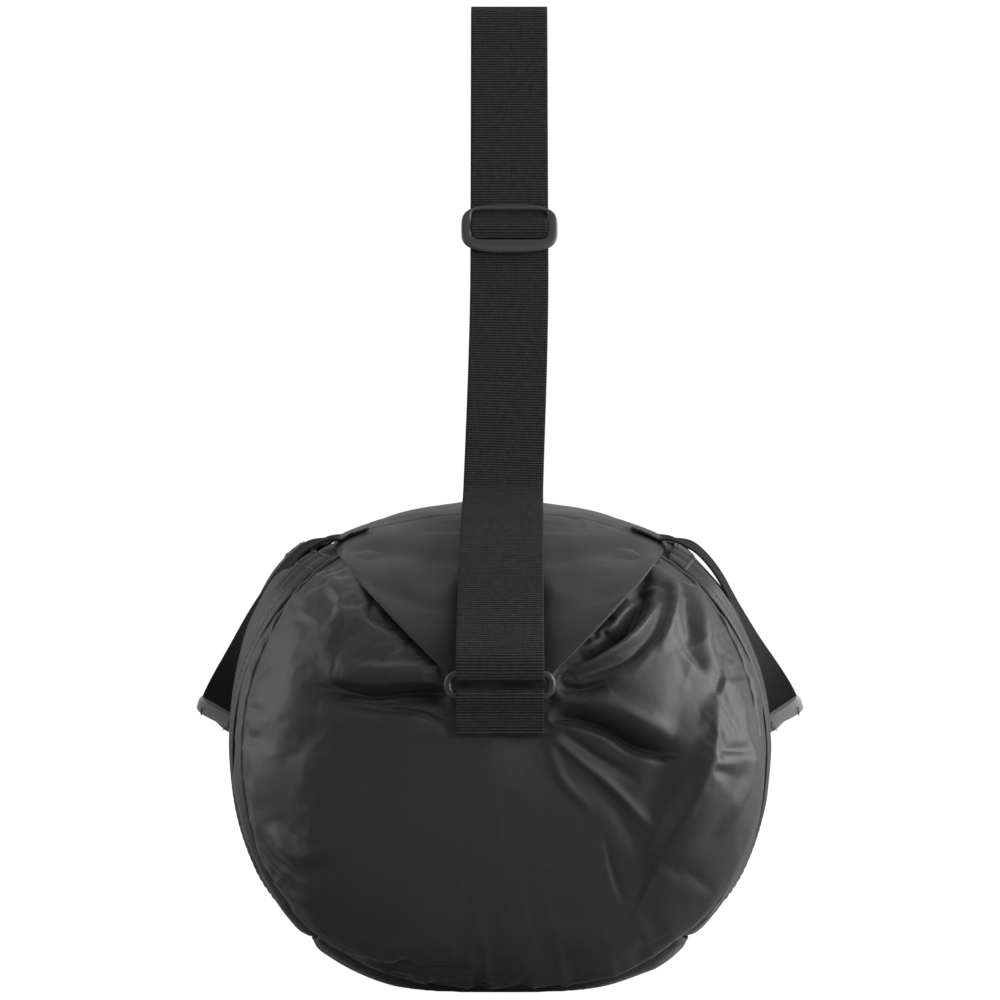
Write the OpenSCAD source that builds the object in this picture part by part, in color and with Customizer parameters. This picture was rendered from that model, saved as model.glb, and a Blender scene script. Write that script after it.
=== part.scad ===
// Rope storage bag: a stuffed soft holdall with a domed zip top, two side pockets,
// two carry handles and an adjustable shoulder strap ringed to both ends.
// Millimetres. +Z is up, Y runs along the bag, and the front end faces -Y.
// The origin is on the floor, under the middle of the bag.

/* [Bag] */
// Length between the two end panels
bag_l = 500; // [440:10:560]
// Width across the fullest part
bag_w = 334; // [300:2:360]
// Height of the bag without its strap
bag_h = 287; // [260:1:310]
// Thickness of the coated bag cloth with its lining
cloth_t = 1.6; // [1.2:0.1:2]
// Share of the full section at which the end panels are sewn in
end_seam = 0.92; // [0.88:0.01:0.94]

/* [Pockets] */
// Length of each side pocket
pocket_l = 290; // [240:5:300]
// How far the left pocket mouth stands open
left_mouth = 14; // [6:1:15]
// How far the right pocket mouth stands open
right_mouth = 14; // [6:1:15]

/* [Shoulder strap] */
// Width of the shoulder strap webbing
strap_w = 50; // [48:1:50]
// Thickness of the webbing
web_t = 1.6; // [1.2:0.1:1.8]
// Height of the top of the strap
strap_top = 611; // [560:1:640]

/* [Carry handles] */
// Width of the handle webbing
handle_w = 25; // [20:1:26]
// Length of the padded grip
grip_l = 100; // [80:5:104]

/* [Zip] */
// Radius of the domed zip line
zip_r = 455; // [450:1:460]
// Distance from the middle of the bag to each end of the zip
zip_half = 165; // [150:1:168]

/* [Hidden] */

patch_t = 1.6;
half_l = bag_l / 2;
mid_z = 160;              // height of the line that the end panels bulge about
gap = 0.15;               // half of the clearance left at each sewn seam

// Right half of the fullest section, bottom centre to top centre, as shares of
// the half width and of the height. Index 3 is the base seam, index 10 the rim.
half_section = [
    [0, 0], [0.24, 0], [0.48, 0.015], [0.695, 0.073], [0.856, 0.17], [0.958, 0.3], [1, 0.446],
    [0.988, 0.585], [0.922, 0.714], [0.802, 0.833], [0.617, 0.92], [0.323, 0.979], [0, 1]
];
base_u = 3;
rim_u = 10;
top_u = 12;
wing_tip = 0.27;          // section share at which the lid's wings end

ring_bar_r = 2.25;
ring_low = [-255.2, 176.4];   // axis of each ring's lower bar, as [y, z] at the front
ring_high = [-254.4, 188.2];
hinge_z = 327;            // height at which the strap loop bends sideways
foot_r = strap_w / 2 + 0.2;   // rounding of the loop's foot about that line
leg_top = 295.5;          // top of the strap legs that stay on the bag
loop_foot = [-80, 302];   // where the strap loop starts, as [y, z] at the front
loop_head = [-10, 601];   // where it starts to turn over the top
lean = atan2(loop_head.x - loop_foot.x, loop_head.y - loop_foot.y);
adjuster_z = 459;
layer = 2.4;              // spacing of the two webbing layers
handle_axis = [-103.6, 263.6];  // line that the left handle turns about, as [x, z]

// ---------------------------------------------------------------- shape of the bag

function wrap(i) = (i + 24) % 24;
function section_knot(i) =
    let (j = wrap(i), k = j <= 12 ? j : 24 - j, side = j <= 12 ? 1 : -1)
    [side * half_section[k].x * bag_w / 2, patch_t + 0.4 + half_section[k].y * (bag_h - patch_t - 0.4)];
function spline(a, b, c, d, t) =
    0.5 * (2 * b + (c - a) * t + (2 * a - 5 * b + 4 * c - d) * t * t + (3 * b - a - 3 * c + d) * t * t * t);
// Point of the fullest section at u, from 0 at the bottom centre round to 24.
function section(u) =
    let (i = floor(u))
    spline(section_knot(i - 1), section_knot(i), section_knot(i + 1), section_knot(i + 2), u - i);
function arm(u) = section(u) - [0, mid_z];
// How square the bag is along its length at u: round over the top, square below.
function squareness(u) = let (q = arm(u)) 4 - 2 * q.y / norm(q);
function share_at(u, y, inset) =
    let (n = squareness(u)) pow(1 - pow(min(1, abs(y) / (half_l - inset)), n), 1 / n);
function y_at(u, share, inset) =
    let (n = squareness(u)) (half_l - inset) * pow(1 - pow(share, n), 1 / n);
// Surface point for section share k, at distance y along the bag.
function shell_point(u, k, y, inset) =
    let (q = arm(u), r = k * (norm(q) - inset) / norm(q))
    [q.x * r, y, mid_z + q.y * r];
function skin(u, y, inset) = shell_point(u, share_at(u, y, inset), y, inset);

function steps(a, b, n) = [for (i = [0:n]) a + (b - a) * i / n];

// ---------------------------------------------------------------- solid builders

// Closed solid between two grids of points of the same size.
module thick_sheet(outer, inner) {
    rows = len(outer);
    cols = len(outer[0]);
    size = rows * cols;
    function id(i, j, s) = s * size + i * cols + j;
    skins = [for (i = [0:rows - 2], j = [0:cols - 2]) each [
        [id(i, j, 0), id(i + 1, j, 0), id(i + 1, j + 1, 0)], [id(i, j, 0), id(i + 1, j + 1, 0), id(i, j + 1, 0)],
        [id(i, j, 1), id(i + 1, j + 1, 1), id(i + 1, j, 1)], [id(i, j, 1), id(i, j + 1, 1), id(i + 1, j + 1, 1)]
    ]];
    ends = [for (j = [0:cols - 2]) each [
        [id(0, j, 0), id(0, j + 1, 0), id(0, j + 1, 1)], [id(0, j, 0), id(0, j + 1, 1), id(0, j, 1)],
        [id(rows - 1, j, 0), id(rows - 1, j + 1, 1), id(rows - 1, j + 1, 0)],
        [id(rows - 1, j, 0), id(rows - 1, j, 1), id(rows - 1, j + 1, 1)]
    ]];
    sides = [for (i = [0:rows - 2]) each [
        [id(i, 0, 0), id(i + 1, 0, 1), id(i + 1, 0, 0)], [id(i, 0, 0), id(i, 0, 1), id(i + 1, 0, 1)],
        [id(i, cols - 1, 0), id(i + 1, cols - 1, 0), id(i + 1, cols - 1, 1)],
        [id(i, cols - 1, 0), id(i + 1, cols - 1, 1), id(i, cols - 1, 1)]
    ]];
    polyhedron([for (g = [outer, inner], row = g, p = row) p], concat(skins, ends, sides), convexity = 6);
}

// Sheet with the section running from ua to ub, between the two end seams.
module barrel_panel(ua, ub, nu, ny, inset = 0, t = cloth_t, share = end_seam) {
    function grid(d) = [for (u = steps(ua, ub, nu)) [
        for (s = steps(-1, 1, ny)) skin(u, s * (y_at(u, share, d) - gap), d)]];
    thick_sheet(grid(inset), grid(inset + t));
}

// Band of webbing: an open path in the YZ plane, given a thickness, extruded across X.
function along(path, i) =
    let (a = path[max(0, i - 1)], b = path[min(len(path) - 1, i + 1)]) (b - a) / norm(b - a);
function offset_path(path, d) =
    [for (i = [0:len(path) - 1]) let (v = along(path, i)) path[i] + d * [v.y, -v.x]];
function reversed(list) = [for (i = [len(list) - 1:-1:0]) list[i]];
module across(width) {
    rotate([90, 0, 90]) linear_extrude(height = width, center = true) children();
}
module web_band(path, width, t = web_t) {
    across(width) polygon(concat(offset_path(path, t / 2), reversed(offset_path(path, -t / 2))));
}
function arc_path(centre, r, a0, a1, n) = [for (a = steps(a0, a1, n)) centre + r * [cos(a), sin(a)]];
// Flat strip that follows the domed zip line, from x0 to x1 and between two depths.
module zip_strip(x0, x1, low, high, reach) {
    a = asin(reach / zip_r);
    translate([0, 0, bag_h - zip_r])
        rotate([90, 0, 90]) rotate([0, 0, 90 - a])
            rotate_extrude(angle = 2 * a, $fn = 180)
                translate([zip_r + low, x0]) square([high - low, x1 - x0]);
}
// Puts a child made at the top of the zip dome at distance y along it.
module on_zip(y) {
    translate([0, 0, bag_h - zip_r]) rotate([-asin(y / zip_r), 0, 0]) translate([0, 0, zip_r]) children();
}
module to_rear() {
    mirror([0, 1, 0]) children();
}
module to_right() {
    mirror([1, 0, 0]) children();
}

// ---------------------------------------------------------------- cloth panels

module base_panel() {
    color("#1c1c1d") barrel_panel(-base_u + 0.01, base_u - 0.01, 16, 22);
}
module base_wear_patch() {
    r = 18;
    color("#101011") linear_extrude(height = patch_t - 0.1) {
        square([112 - 2 * r, 300], center = true);
        square([112, 300 - 2 * r], center = true);
        for (x = [-1, 1], y = [-1, 1])
            translate([x * (56 - r), y * (150 - r)]) circle(r = r, $fn = 48);
    }
}
// Front end panel: a bulging cloth disc with a wedge left out for the lid's wing.
module end_panel() {
    us = [for (i = [0:71]) i / 3 + (i == 30 ? -0.02 : i == 42 ? 0.02 : 0)];
    reach = [for (u = us) u >= rim_u && u <= 24 - rim_u ? wing_tip - 0.005 : end_seam - 0.001];
    rows = 11;
    function ring(i, d) = [for (j = [0:71]) let (k = reach[j] * i / rows)
        shell_point(us[j], k, -y_at(us[j], k, d), d)];
    points = concat(
        [[0, -half_l, mid_z], [0, -half_l + cloth_t, mid_z]],
        [for (d = [0, cloth_t], i = [1:rows], p = ring(i, d)) p]);
    function id(i, j, s) = 2 + s * rows * 72 + (i - 1) * 72 + (j % 72);
    faces = concat(
        [for (j = [0:71]) [0, id(1, j + 1, 0), id(1, j, 0)]],
        [for (j = [0:71]) [1, id(1, j, 1), id(1, j + 1, 1)]],
        [for (i = [1:rows - 1], j = [0:71]) each [
            [id(i, j, 0), id(i, j + 1, 0), id(i + 1, j + 1, 0)], [id(i, j, 0), id(i + 1, j + 1, 0), id(i + 1, j, 0)],
            [id(i, j, 1), id(i + 1, j + 1, 1), id(i, j + 1, 1)], [id(i, j, 1), id(i + 1, j, 1), id(i + 1, j + 1, 1)]
        ]],
        [for (j = [0:71]) each [
            [id(rows, j, 0), id(rows, j + 1, 0), id(rows, j + 1, 1)],
            [id(rows, j, 0), id(rows, j + 1, 1), id(rows, j, 1)]
        ]]);
    color("#1c1c1d") polyhedron(points, faces, convexity = 6);
}
module front_end_panel() {
    end_panel();
}
module rear_end_panel() {
    to_rear() end_panel();
}
module right_side_panel() {
    color("#1e1e1f") barrel_panel(base_u + 0.01, rim_u - 0.01, 18, 20, inset = 2.1);
}
module left_side_panel() {
    to_right() right_side_panel();
}
// Right half of the lid with its two wings. Its inner edge leaves room for the zip.
module right_lid_panel() {
    rows = 8;
    function edge_x(y) = 0.4 + 11.6 * max(0, min(1, (zip_half + 12 - abs(y)) / 12));
    function edge_u(y, d) = top_u - edge_x(y) / (0.323 * bag_w / 2) / max(0.25, share_at(top_u, y, d));
    function cell(i, s, d) =
        let (
            y0 = s * y_at(rim_u, wing_tip, d), ua = rim_u + 0.01,
            u = ua + (edge_u(y0, d) - ua) * i / rows, y = s * y_at(u, wing_tip, d))
        skin(u, y, d);
    function grid(d) = [for (i = [0:rows]) [for (s = [for (a = steps(-90, 90, 34)) sin(a)]) cell(i, s, d)]];
    color("#232324") thick_sheet(grid(0), grid(cloth_t));
}
module left_lid_panel() {
    to_right() right_lid_panel();
}

// ---------------------------------------------------------------- pockets

pocket_ua = 3.6;
pocket_ub = 9.75;
// Outer surface of a right-hand pocket that stands open by mouth at its top edge.
function pocket_point(u, s, mouth, d) =
    let (
        y = s * min(pocket_l / 2, y_at(u, end_seam, 0) - 6), p = skin(u, y, d),
        up = max(0, (u - 6.6) / (pocket_ub - 6.6)), flare = mouth * up * up * pow(1 - s * s, 2))
    [p.x + flare, p.y, p.z - 0.12 * flare];
module pocket_sheet(ua, ub, nu, mouth, d0, d1) {
    function grid(d) = [for (u = steps(ua, ub, nu)) [for (s = steps(-1, 1, 20)) pocket_point(u, s, mouth, d)]];
    thick_sheet(grid(d0), grid(d1));
}
module right_pocket_panel() {
    color("#29292a") pocket_sheet(pocket_ua, pocket_ub, 16, right_mouth, 0.4, 1.7);
}
module left_pocket_panel() {
    to_right() color("#29292a") pocket_sheet(pocket_ua, pocket_ub, 16, left_mouth, 0.4, 1.7);
}
// Folded hem along a pocket's mouth, on the outside of the cloth.
module pocket_hem(mouth) {
    color("#2e2e2f") pocket_sheet(pocket_ub - 0.3, pocket_ub, 2, mouth, -0.7, 0.3);
}
module right_pocket_binding() {
    pocket_hem(right_mouth);
}
module left_pocket_binding() {
    to_right() pocket_hem(left_mouth);
}

// ---------------------------------------------------------------- inside

// Bound seam allowance that stands inside the bag along an end seam.
module seam_binding() {
    us = [for (i = [0:56]) rim_u + 0.1 + (24 - 2 * (top_u - rim_u) - 0.2) * i / 56 + 4];
    function row(share, d) = [for (u = us) shell_point(wrap(u), share, -y_at(wrap(u), share, d), d)];
    color("#0e0e0f") thick_sheet([row(end_seam - 0.004, 4.2), row(end_seam - 0.004, 11)],
        [row(end_seam + 0.004, 4.2), row(end_seam + 0.004, 11)]);
}
module front_seam_binding() {
    seam_binding();
}
module rear_seam_binding() {
    to_rear() seam_binding();
}
// Webbing loop inside each end, for tying in an end of the rope.
module rope_loop() {
    path = concat([[-247, 132], [-246.4, 110]], arc_path([-242, 92], 5, 180, 360, 10), [[-241, 110], [-244.3, 132]]);
    color("#7a1f1b") web_band(path, 20, 1.2);
}
module front_rope_loop() {
    rope_loop();
}
module rear_rope_loop() {
    to_rear() rope_loop();
}

// ---------------------------------------------------------------- zip

module right_zip_tape() {
    color("#131314") zip_strip(4.2, 19, -3.6, -2.8, zip_half + 2);
}
module left_zip_tape() {
    to_right() right_zip_tape();
}
module right_zip_teeth() {
    color("#0c0c0d") zip_strip(0.7, 4, -3.4, -1, zip_half);
}
module left_zip_teeth() {
    to_right() right_zip_teeth();
}
module zip_end_stops() {
    color("#8d9093") for (s = [-1, 1]) on_zip(s * (zip_half + 2.6)) translate([0, 0, -2.2])
        cube([7.8, 4, 3], center = true);
}
// Slider: two plates round the teeth, joined by a thin post, with a bridge on top.
module zip_slider() {
    color("#1a1b1c") {
        translate([0, 0, 0.2]) cube([11, 16, 1.8], center = true);
        translate([0, 0, -5.2]) cube([11, 16, 1.6], center = true);
        translate([0, 0, -2.6]) cube([0.8, 4, 6], center = true);
        for (x = [-1, 1]) translate([x * 5, 0, -1.1]) cube([1, 16, 1.6], center = true);
        difference() {
            translate([-1.6, -5, 1]) cube([3.2, 10, 3.6]);
            translate([0, 0, 2.9]) rotate([0, 90, 0]) cylinder(r = 1.3, h = 8, center = true, $fn = 32);
        }
    }
}
// Pull tab made flat, pointing away from the middle of the bag.
module pull_tab() {
    color("#1a1b1c") {
        translate([0, 0, 2.9]) rotate([0, 90, 0]) cylinder(r = 1, h = 9, center = true, $fn = 32);
        for (x = [-1, 1]) translate([x * 4 - 0.9, -9, 2]) cube([1.8, 9, 1.8]);
        difference() {
            translate([-4.9, -32, 2]) cube([9.8, 24, 1.8]);
            translate([0, -27, 0]) cylinder(r = 2.2, h = 8, $fn = 32);
        }
    }
}
slider_y = 9.5;           // each slider's distance from the middle with the zip closed
module front_zip_slider() {
    on_zip(-slider_y) zip_slider();
}
module rear_zip_slider() {
    to_rear() front_zip_slider();
}
module front_pull_tab() {
    on_zip(-slider_y) pull_tab();
}
module rear_pull_tab() {
    to_rear() front_pull_tab();
}

// ---------------------------------------------------------------- rings and anchors

module anchor_web() {
    path = concat(
        [[-251.5, 154.5], [-251.8, 171], [ring_low.x + 3.4, ring_low.y - 2]],
        arc_path(ring_low, 3.4, 0, 180, 14),
        [[ring_low.x - 3.4, ring_low.y - 2], [-256.2, 168], [-253.6, 154.5]]);
    color("#141415") web_band(path, strap_w);
}
module front_anchor_web() {
    anchor_web();
}
module rear_anchor_web() {
    to_rear() anchor_web();
}
// Loop ring: two round bars joined by rounded ends.
module ring() {
    half_bar = strap_w / 2 + 2.6;
    color("#202123") {
        for (c = [ring_low, ring_high])
            translate([0, c.x, c.y]) rotate([0, 90, 0])
                cylinder(r = ring_bar_r, h = 2 * half_bar, center = true, $fn = 40);
        for (x = [-1, 1]) hull() for (c = [ring_low, ring_high])
            translate([x * half_bar, c.x, c.y]) rotate([0, 90, 0])
                cylinder(r = ring_bar_r, h = 2 * ring_bar_r, center = true, $fn = 32);
    }
}
module front_ring() {
    ring();
}
module rear_ring() {
    to_rear() ring();
}

// ---------------------------------------------------------------- shoulder strap

u_turn_r = 5.2;           // middle radius of the loose turn round each ring
// Outer run of a strap leg over the end of the bag, ring to top, as [y, z].
outer_run = [
    [-258.2, 198], [-250, 207], [-237, 216.5], [-215, 236], [-191, 253], [-165.5, 266.4],
    [-135, 278.2], [-112, 285.2], [-98, 290.2], [-88, 296.2]
];
module strap_leg() {
    lower = arc_path(ring_high, u_turn_r, 200, 355, 14);
    outer_leg = concat(reversed(outer_run), [[-259.7, 191]], lower);
    inner_leg = [for (i = [1:len(outer_run) - 1]) offset_path(outer_run, layer)[i]];
    color("#161617") difference() {
        web_band(concat(outer_leg, [[-249.4, 193]], inner_leg), strap_w);
        translate([0, 0, leg_top + 20]) cube([200, 600, 40], center = true);
    }
}
module front_strap_leg() {
    strap_leg();
}
module rear_strap_leg() {
    to_rear() strap_leg();
}
// Rounds the foot of the loop about its hinge line, so that it clears the legs as it turns.
module rounded_foot() {
    intersection() {
        children();
        union() {
            translate([0, 0, hinge_z + 250]) cube([100, 300, 500], center = true);
            translate([0, 0, hinge_z]) rotate([90, 0, 0]) cylinder(r = foot_r, h = 300, center = true, $fn = 96);
        }
    }
}
module strap_loop() {
    r = -loop_head.x;
    top = arc_path([0, strap_top - r - web_t / 2], r, 180 - lean / 2, lean / 2, 20);
    path = concat([loop_foot], top, [[-loop_foot.x, loop_foot.y]]);
    color("#161617") rounded_foot() web_band(path, strap_w);
}
function on_leg(z) = loop_foot + (loop_head - loop_foot) * (z - loop_foot.y) / (loop_head.y - loop_foot.y);
// Child made with its own Y up the strap and Z towards the rear is put on the front leg.
module on_strap(z) {
    p = on_leg(z);
    translate([0, p.x, p.y]) rotate([-lean, 0, 0]) children();
}
// Front layer of the double run, ending in the sewn turn round the adjuster's middle bar.
module strap_return() {
    reach = adjuster_z - loop_foot.y;
    path = concat([[-layer, -reach / cos(lean)], [-layer, -5]], arc_path([-4.6, 0], 2.5, 0, 262, 16), [[-4.9, -4.2]]);
    color("#161617") rounded_foot() on_strap(adjuster_z) web_band(path, strap_w);
}
// Three-bar adjuster: the strap runs in front of the top bar and behind the other two.
module strap_adjuster() {
    bars = [[3.1, 11.5], [-4.6, 0], [-5.6, -11]];   // [towards the rear, up]
    size = [[3.2, 5], [2, 2], [3, 7.5]];
    color("#242527") on_strap(adjuster_z) {
        for (i = [0:2]) across(56) translate(bars[i]) square(size[i], center = true);
        for (x = [-1, 1]) translate([x * 28.2, 0, 0]) across(4.8)
            polygon([[1.2, 14], [4.9, 13.2], [4.9, 9], [-0.6, 0], [-4, -14.6], [-7.2, -14.2], [-7.2, -8], [-4.8, 4]]);
    }
}

// ---------------------------------------------------------------- carry handles

// Middle line of the left handle's leg, as [x, z], from its seam to its grip.
leg_profile = [
    handle_axis, [-113, 266.8], [-125.5, 264.2], [-142, 248.5], [-157.5, 221], [-171, 188.5], [-180, 163], [-184, 149]
];
leg_y = 95;               // distance of each handle leg from the middle of the bag
grip_tilt = 48.7;         // how far the grip's width leans up from level
grip_at = leg_profile[7];
grip_out = [-cos(grip_tilt), 0, sin(grip_tilt)];
bend = leg_y - grip_l / 2 - 5;    // how far each leg bends in to meet the grip
function profile_at(t) =
    let (i = min(6, floor(t)), n = len(leg_profile) - 1)
    spline(leg_profile[max(0, i - 1)], leg_profile[i], leg_profile[i + 1], leg_profile[min(n, i + 2)], t - i);
// The handle bends in from its legs to its grip over the last stretch of the profile.
function handle_mid(t) =
    t <= 4.6 ? let (p = profile_at(t)) [p.x, -leg_y, p.y]
    : let (a = (t - 4.6) / 2.4 * 90, p = profile_at(4.6 + 2.4 * sin(a)))
        [p.x, -leg_y + bend * (1 - cos(a)), p.y];
function handle_path() = concat(
    [for (t = steps(0, 7, 28)) handle_mid(t)],
    [for (y = [-1, 1]) [grip_at.x, y * (grip_l / 2 + 1), grip_at.y]],
    [for (t = steps(7, 0, 28)) let (p = handle_mid(t)) [p.x, -p.y, p.z]]);
function unit(v) = v / norm(v);
// Width direction: flat on the seam at the legs, standing on edge at the grip.
function handle_across(path, i) =
    let (
        n = len(path) - 1, v = unit(path[min(n, i + 1)] - path[max(0, i - 1)]),
        near = min(i, n - i) / 28, turn = 90 * pow(sin(90 * max(0, min(1, (near - 0.25) / 0.75))), 2),
        flat = unit([0, 1, 0] - v.y * v), out = unit(grip_out - (v * grip_out) * v))
    near >= 1 ? out : unit(cos(turn) * flat + sin(turn) * (cross(flat, v) * out > 0 ? 1 : -1) * cross(flat, v));
// Closed tube of a width and thickness along a handle path.
module ribbon(path, frame, from, to, width, t) {
    ring = [for (i = [from:to])
        let (
            n = len(path) - 1, v = unit(path[min(n, i + 1)] - path[max(0, i - 1)]),
            w = frame[i] * width / 2, h = cross(v, frame[i]) * t / 2)
        [path[i] + w + h, path[i] - w + h, path[i] - w - h, path[i] + w - h]];
    m = len(ring);
    faces = concat([[0, 1, 2, 3]], [[4 * m - 1, 4 * m - 2, 4 * m - 3, 4 * m - 4]],
        [for (i = [0:m - 2], j = [0:3]) each [
            [4 * i + j, 4 * i + 4 + j, 4 * i + 4 + (j + 1) % 4], [4 * i + j, 4 * i + 4 + (j + 1) % 4, 4 * i + (j + 1) % 4]
        ]]);
    polyhedron([for (r = ring, p = r) p], faces, convexity = 8);
}
function frames(path) = [for (i = [0:len(path) - 1]) handle_across(path, i)];
module left_handle_web() {
    path = handle_path();
    color("#141415") ribbon(path, frames(path), 0, len(path) - 1, handle_w, web_t);
}
module right_handle_web() {
    to_right() left_handle_web();
}
// Padded sleeve round the middle of the handle.
module left_handle_grip() {
    inner = [handle_w + 0.5, web_t + 0.5];
    outer = [handle_w + 3, web_t + 4.4];
    color("#77797b") translate([grip_at.x, 0, grip_at.y]) rotate([90, grip_tilt, 0])
        linear_extrude(height = grip_l, center = true) difference() {
            square(outer, center = true);
            square(inner, center = true);
        }
}
module right_handle_grip() {
    to_right() left_handle_grip();
}
// Ends of the handle webbing, sewn down over the rim.
module left_handle_tabs() {
    color("#141415") for (y = [-leg_y, leg_y]) translate([0, y, 0]) rotate([90, 0, 0])
        linear_extrude(height = handle_w, center = true)
            polygon([[-101, 264.7], [-100.4, 263.3], [-90, 267.2], [-78, 271.3], [-78.4, 272.8], [-90.4, 268.8]]);
}
module right_handle_tabs() {
    to_right() left_handle_tabs();
}

base_panel();
base_wear_patch();
front_end_panel();
rear_end_panel();
left_side_panel();
right_side_panel();
left_lid_panel();
right_lid_panel();
left_pocket_panel();
right_pocket_panel();
left_pocket_binding();
right_pocket_binding();
front_seam_binding();
rear_seam_binding();
front_rope_loop();
rear_rope_loop();
left_zip_tape();
right_zip_tape();
left_zip_teeth();
right_zip_teeth();
zip_end_stops();
front_zip_slider();
rear_zip_slider();
front_pull_tab();
rear_pull_tab();
front_anchor_web();
rear_anchor_web();
front_ring();
rear_ring();
front_strap_leg();
rear_strap_leg();
strap_loop();
strap_return();
strap_adjuster();
left_handle_tabs();
right_handle_tabs();
left_handle_web();
right_handle_web();
left_handle_grip();
right_handle_grip();
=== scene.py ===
"""Looks of the rope storage bag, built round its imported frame.

The bag stands on its base, stuffed full, with its shoulder strap drawn up. Lengths are in metres, +Z is up,
Y runs along the bag and the front end faces -Y.
"""

import logging
import math
from dataclasses import dataclass, field, replace
from enum import Enum
from typing import Callable, Sequence

import bmesh
import bpy
import numpy as np
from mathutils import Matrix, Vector


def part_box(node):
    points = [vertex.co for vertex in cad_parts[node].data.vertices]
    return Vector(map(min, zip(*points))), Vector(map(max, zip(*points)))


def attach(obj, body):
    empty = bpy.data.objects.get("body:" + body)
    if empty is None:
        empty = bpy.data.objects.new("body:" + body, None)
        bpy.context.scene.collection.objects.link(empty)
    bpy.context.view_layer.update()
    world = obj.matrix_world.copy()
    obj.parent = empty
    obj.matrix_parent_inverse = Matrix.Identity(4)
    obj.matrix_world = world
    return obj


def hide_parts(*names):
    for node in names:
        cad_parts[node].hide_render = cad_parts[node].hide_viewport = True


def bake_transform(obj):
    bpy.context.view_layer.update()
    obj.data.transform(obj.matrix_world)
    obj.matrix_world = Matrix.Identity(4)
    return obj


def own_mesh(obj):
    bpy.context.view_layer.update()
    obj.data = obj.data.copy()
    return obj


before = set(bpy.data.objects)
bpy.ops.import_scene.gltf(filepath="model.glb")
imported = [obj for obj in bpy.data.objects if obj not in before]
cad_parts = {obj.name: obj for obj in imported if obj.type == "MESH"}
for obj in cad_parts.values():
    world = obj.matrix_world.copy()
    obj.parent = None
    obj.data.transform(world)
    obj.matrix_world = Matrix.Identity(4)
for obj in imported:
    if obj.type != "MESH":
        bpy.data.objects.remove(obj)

LOG = logging.getLogger("rope_bag")
MM = 0.001
Point = tuple[float, float]
Array = np.ndarray
BAG_MIDDLE = np.array([0.0, 0.0, 0.14])
AROUND = 24  # places round the bag's section, counted from the middle of its base


# ------------------------------------------------------------------ small maths


def ease(t: Array) -> Array:
    """Smooth step from 0 to 1 as t goes from 0 to 1."""
    t = np.clip(t, 0.0, 1.0)
    return t * t * (3.0 - 2.0 * t)


def unit(v: Array) -> Array:
    """Vectors along the last axis, each scaled to length 1."""
    return v / np.maximum(np.linalg.norm(v, axis=-1, keepdims=True), 1e-12)


def signed_power(value: float, power: float) -> float:
    """A value raised to a power, with its sign kept."""
    return math.copysign(abs(value) ** power, value)


def bell(d: Array, width: float) -> Array:
    """Bell curve of distance d, 1 at the middle."""
    return np.exp(-((d / width) ** 2))


def cloud(p: Array, pitch: float, seed: int) -> Array:
    """Smooth random field over points.

    Args:
        p: points, with the last axis of length 3.
        pitch: size of one lump.
        seed: picks the pattern.

    Returns:
        A value from about -1 to 1 for each point.
    """
    q = p / pitch + 100.0
    cell = np.floor(q).astype(np.int64)
    f = q - cell
    w = f * f * f * (f * (f * 6.0 - 15.0) + 10.0)
    total = np.zeros(p.shape[:-1])
    for corner in range(8):
        step = np.array([corner & 1, corner >> 1 & 1, corner >> 2 & 1])
        at = cell + step
        code = at[..., 0] * 73856093 ^ at[..., 1] * 19349663 ^ at[..., 2] * 83492791 ^ seed * 374761393
        code = (code ^ code >> 13) * 1274126177 & 0xFFFFFFFF
        code = (code ^ code >> 16) & 0xFFFF
        share = np.prod(np.where(step == 1, w, 1.0 - w), axis=-1)
        total += share * (code / 32767.5 - 1.0)
    return total


def crinkle(p: Array, pitch: float, seed: int) -> Array:
    """Thin soft ridges that wander over a cloth, from 0 to 1."""
    bent = p + pitch * 0.35 * np.stack([cloud(p, pitch * 1.7, seed + k) for k in (1, 2, 3)], axis=-1)
    return (1.08 - np.sqrt(cloud(bent, pitch, seed) ** 2 + 0.0064)) ** 4


def spline(a: Array, b: Array, c: Array, d: Array, t: Array) -> Array:
    """Point of a smooth curve between b and c, at share t of the way."""
    bend = (2 * a - 5 * b + 4 * c - d) * t**2 + (3 * b - a - 3 * c + d) * t**3
    return 0.5 * (2 * b + (c - a) * t + bend)


def curve_through(points: Sequence[Sequence[float]], per_span: int) -> Array:
    """Smooth curve through given points.

    Args:
        points: the points, in any number of dimensions.
        per_span: how many steps each span is cut into.

    Returns:
        The curve's points, ends included.
    """
    p = np.asarray(points, float)
    p = np.vstack([2 * p[0] - p[1], p, 2 * p[-1] - p[-2]])
    out = []
    for i in range(1, len(p) - 2):
        t = np.linspace(0, 1, per_span, endpoint=False)[:, None]
        out.append(spline(*p[i - 1 : i + 3], t))
    return np.vstack(out + [p[-2][None]])


def even_steps(path: Array, step: float) -> Array:
    """Points along a path at even steps of about the given length."""
    lengths = np.concatenate([[0], np.cumsum(np.linalg.norm(np.diff(path, axis=0), axis=1))])
    count = max(2, int(round(lengths[-1] / step)) + 1)
    at = np.linspace(0, lengths[-1], count)
    return np.stack([np.interp(at, lengths, path[:, k]) for k in range(path.shape[1])], axis=1)


def arc(centre: Point, radius: float, start: float, stop: float, count: int) -> list[Point]:
    """Points of a flat arc, with angles in degrees."""
    angles = np.radians(np.linspace(start, stop, count))
    return [(centre[0] + radius * math.cos(a), centre[1] + radius * math.sin(a)) for a in angles]


def same(direction: Array | Sequence[float], count: int) -> Array:
    """One direction, repeated for each point of a path."""
    return np.tile(direction, (count, 1))


def tangents(path: Array, closed: bool = False) -> Array:
    """Unit directions along a path."""
    if closed:
        return unit(np.roll(path, -1, axis=0) - np.roll(path, 1, axis=0))
    return unit(np.gradient(path, axis=0))


# ------------------------------------------------------------------ mesh building


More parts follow.
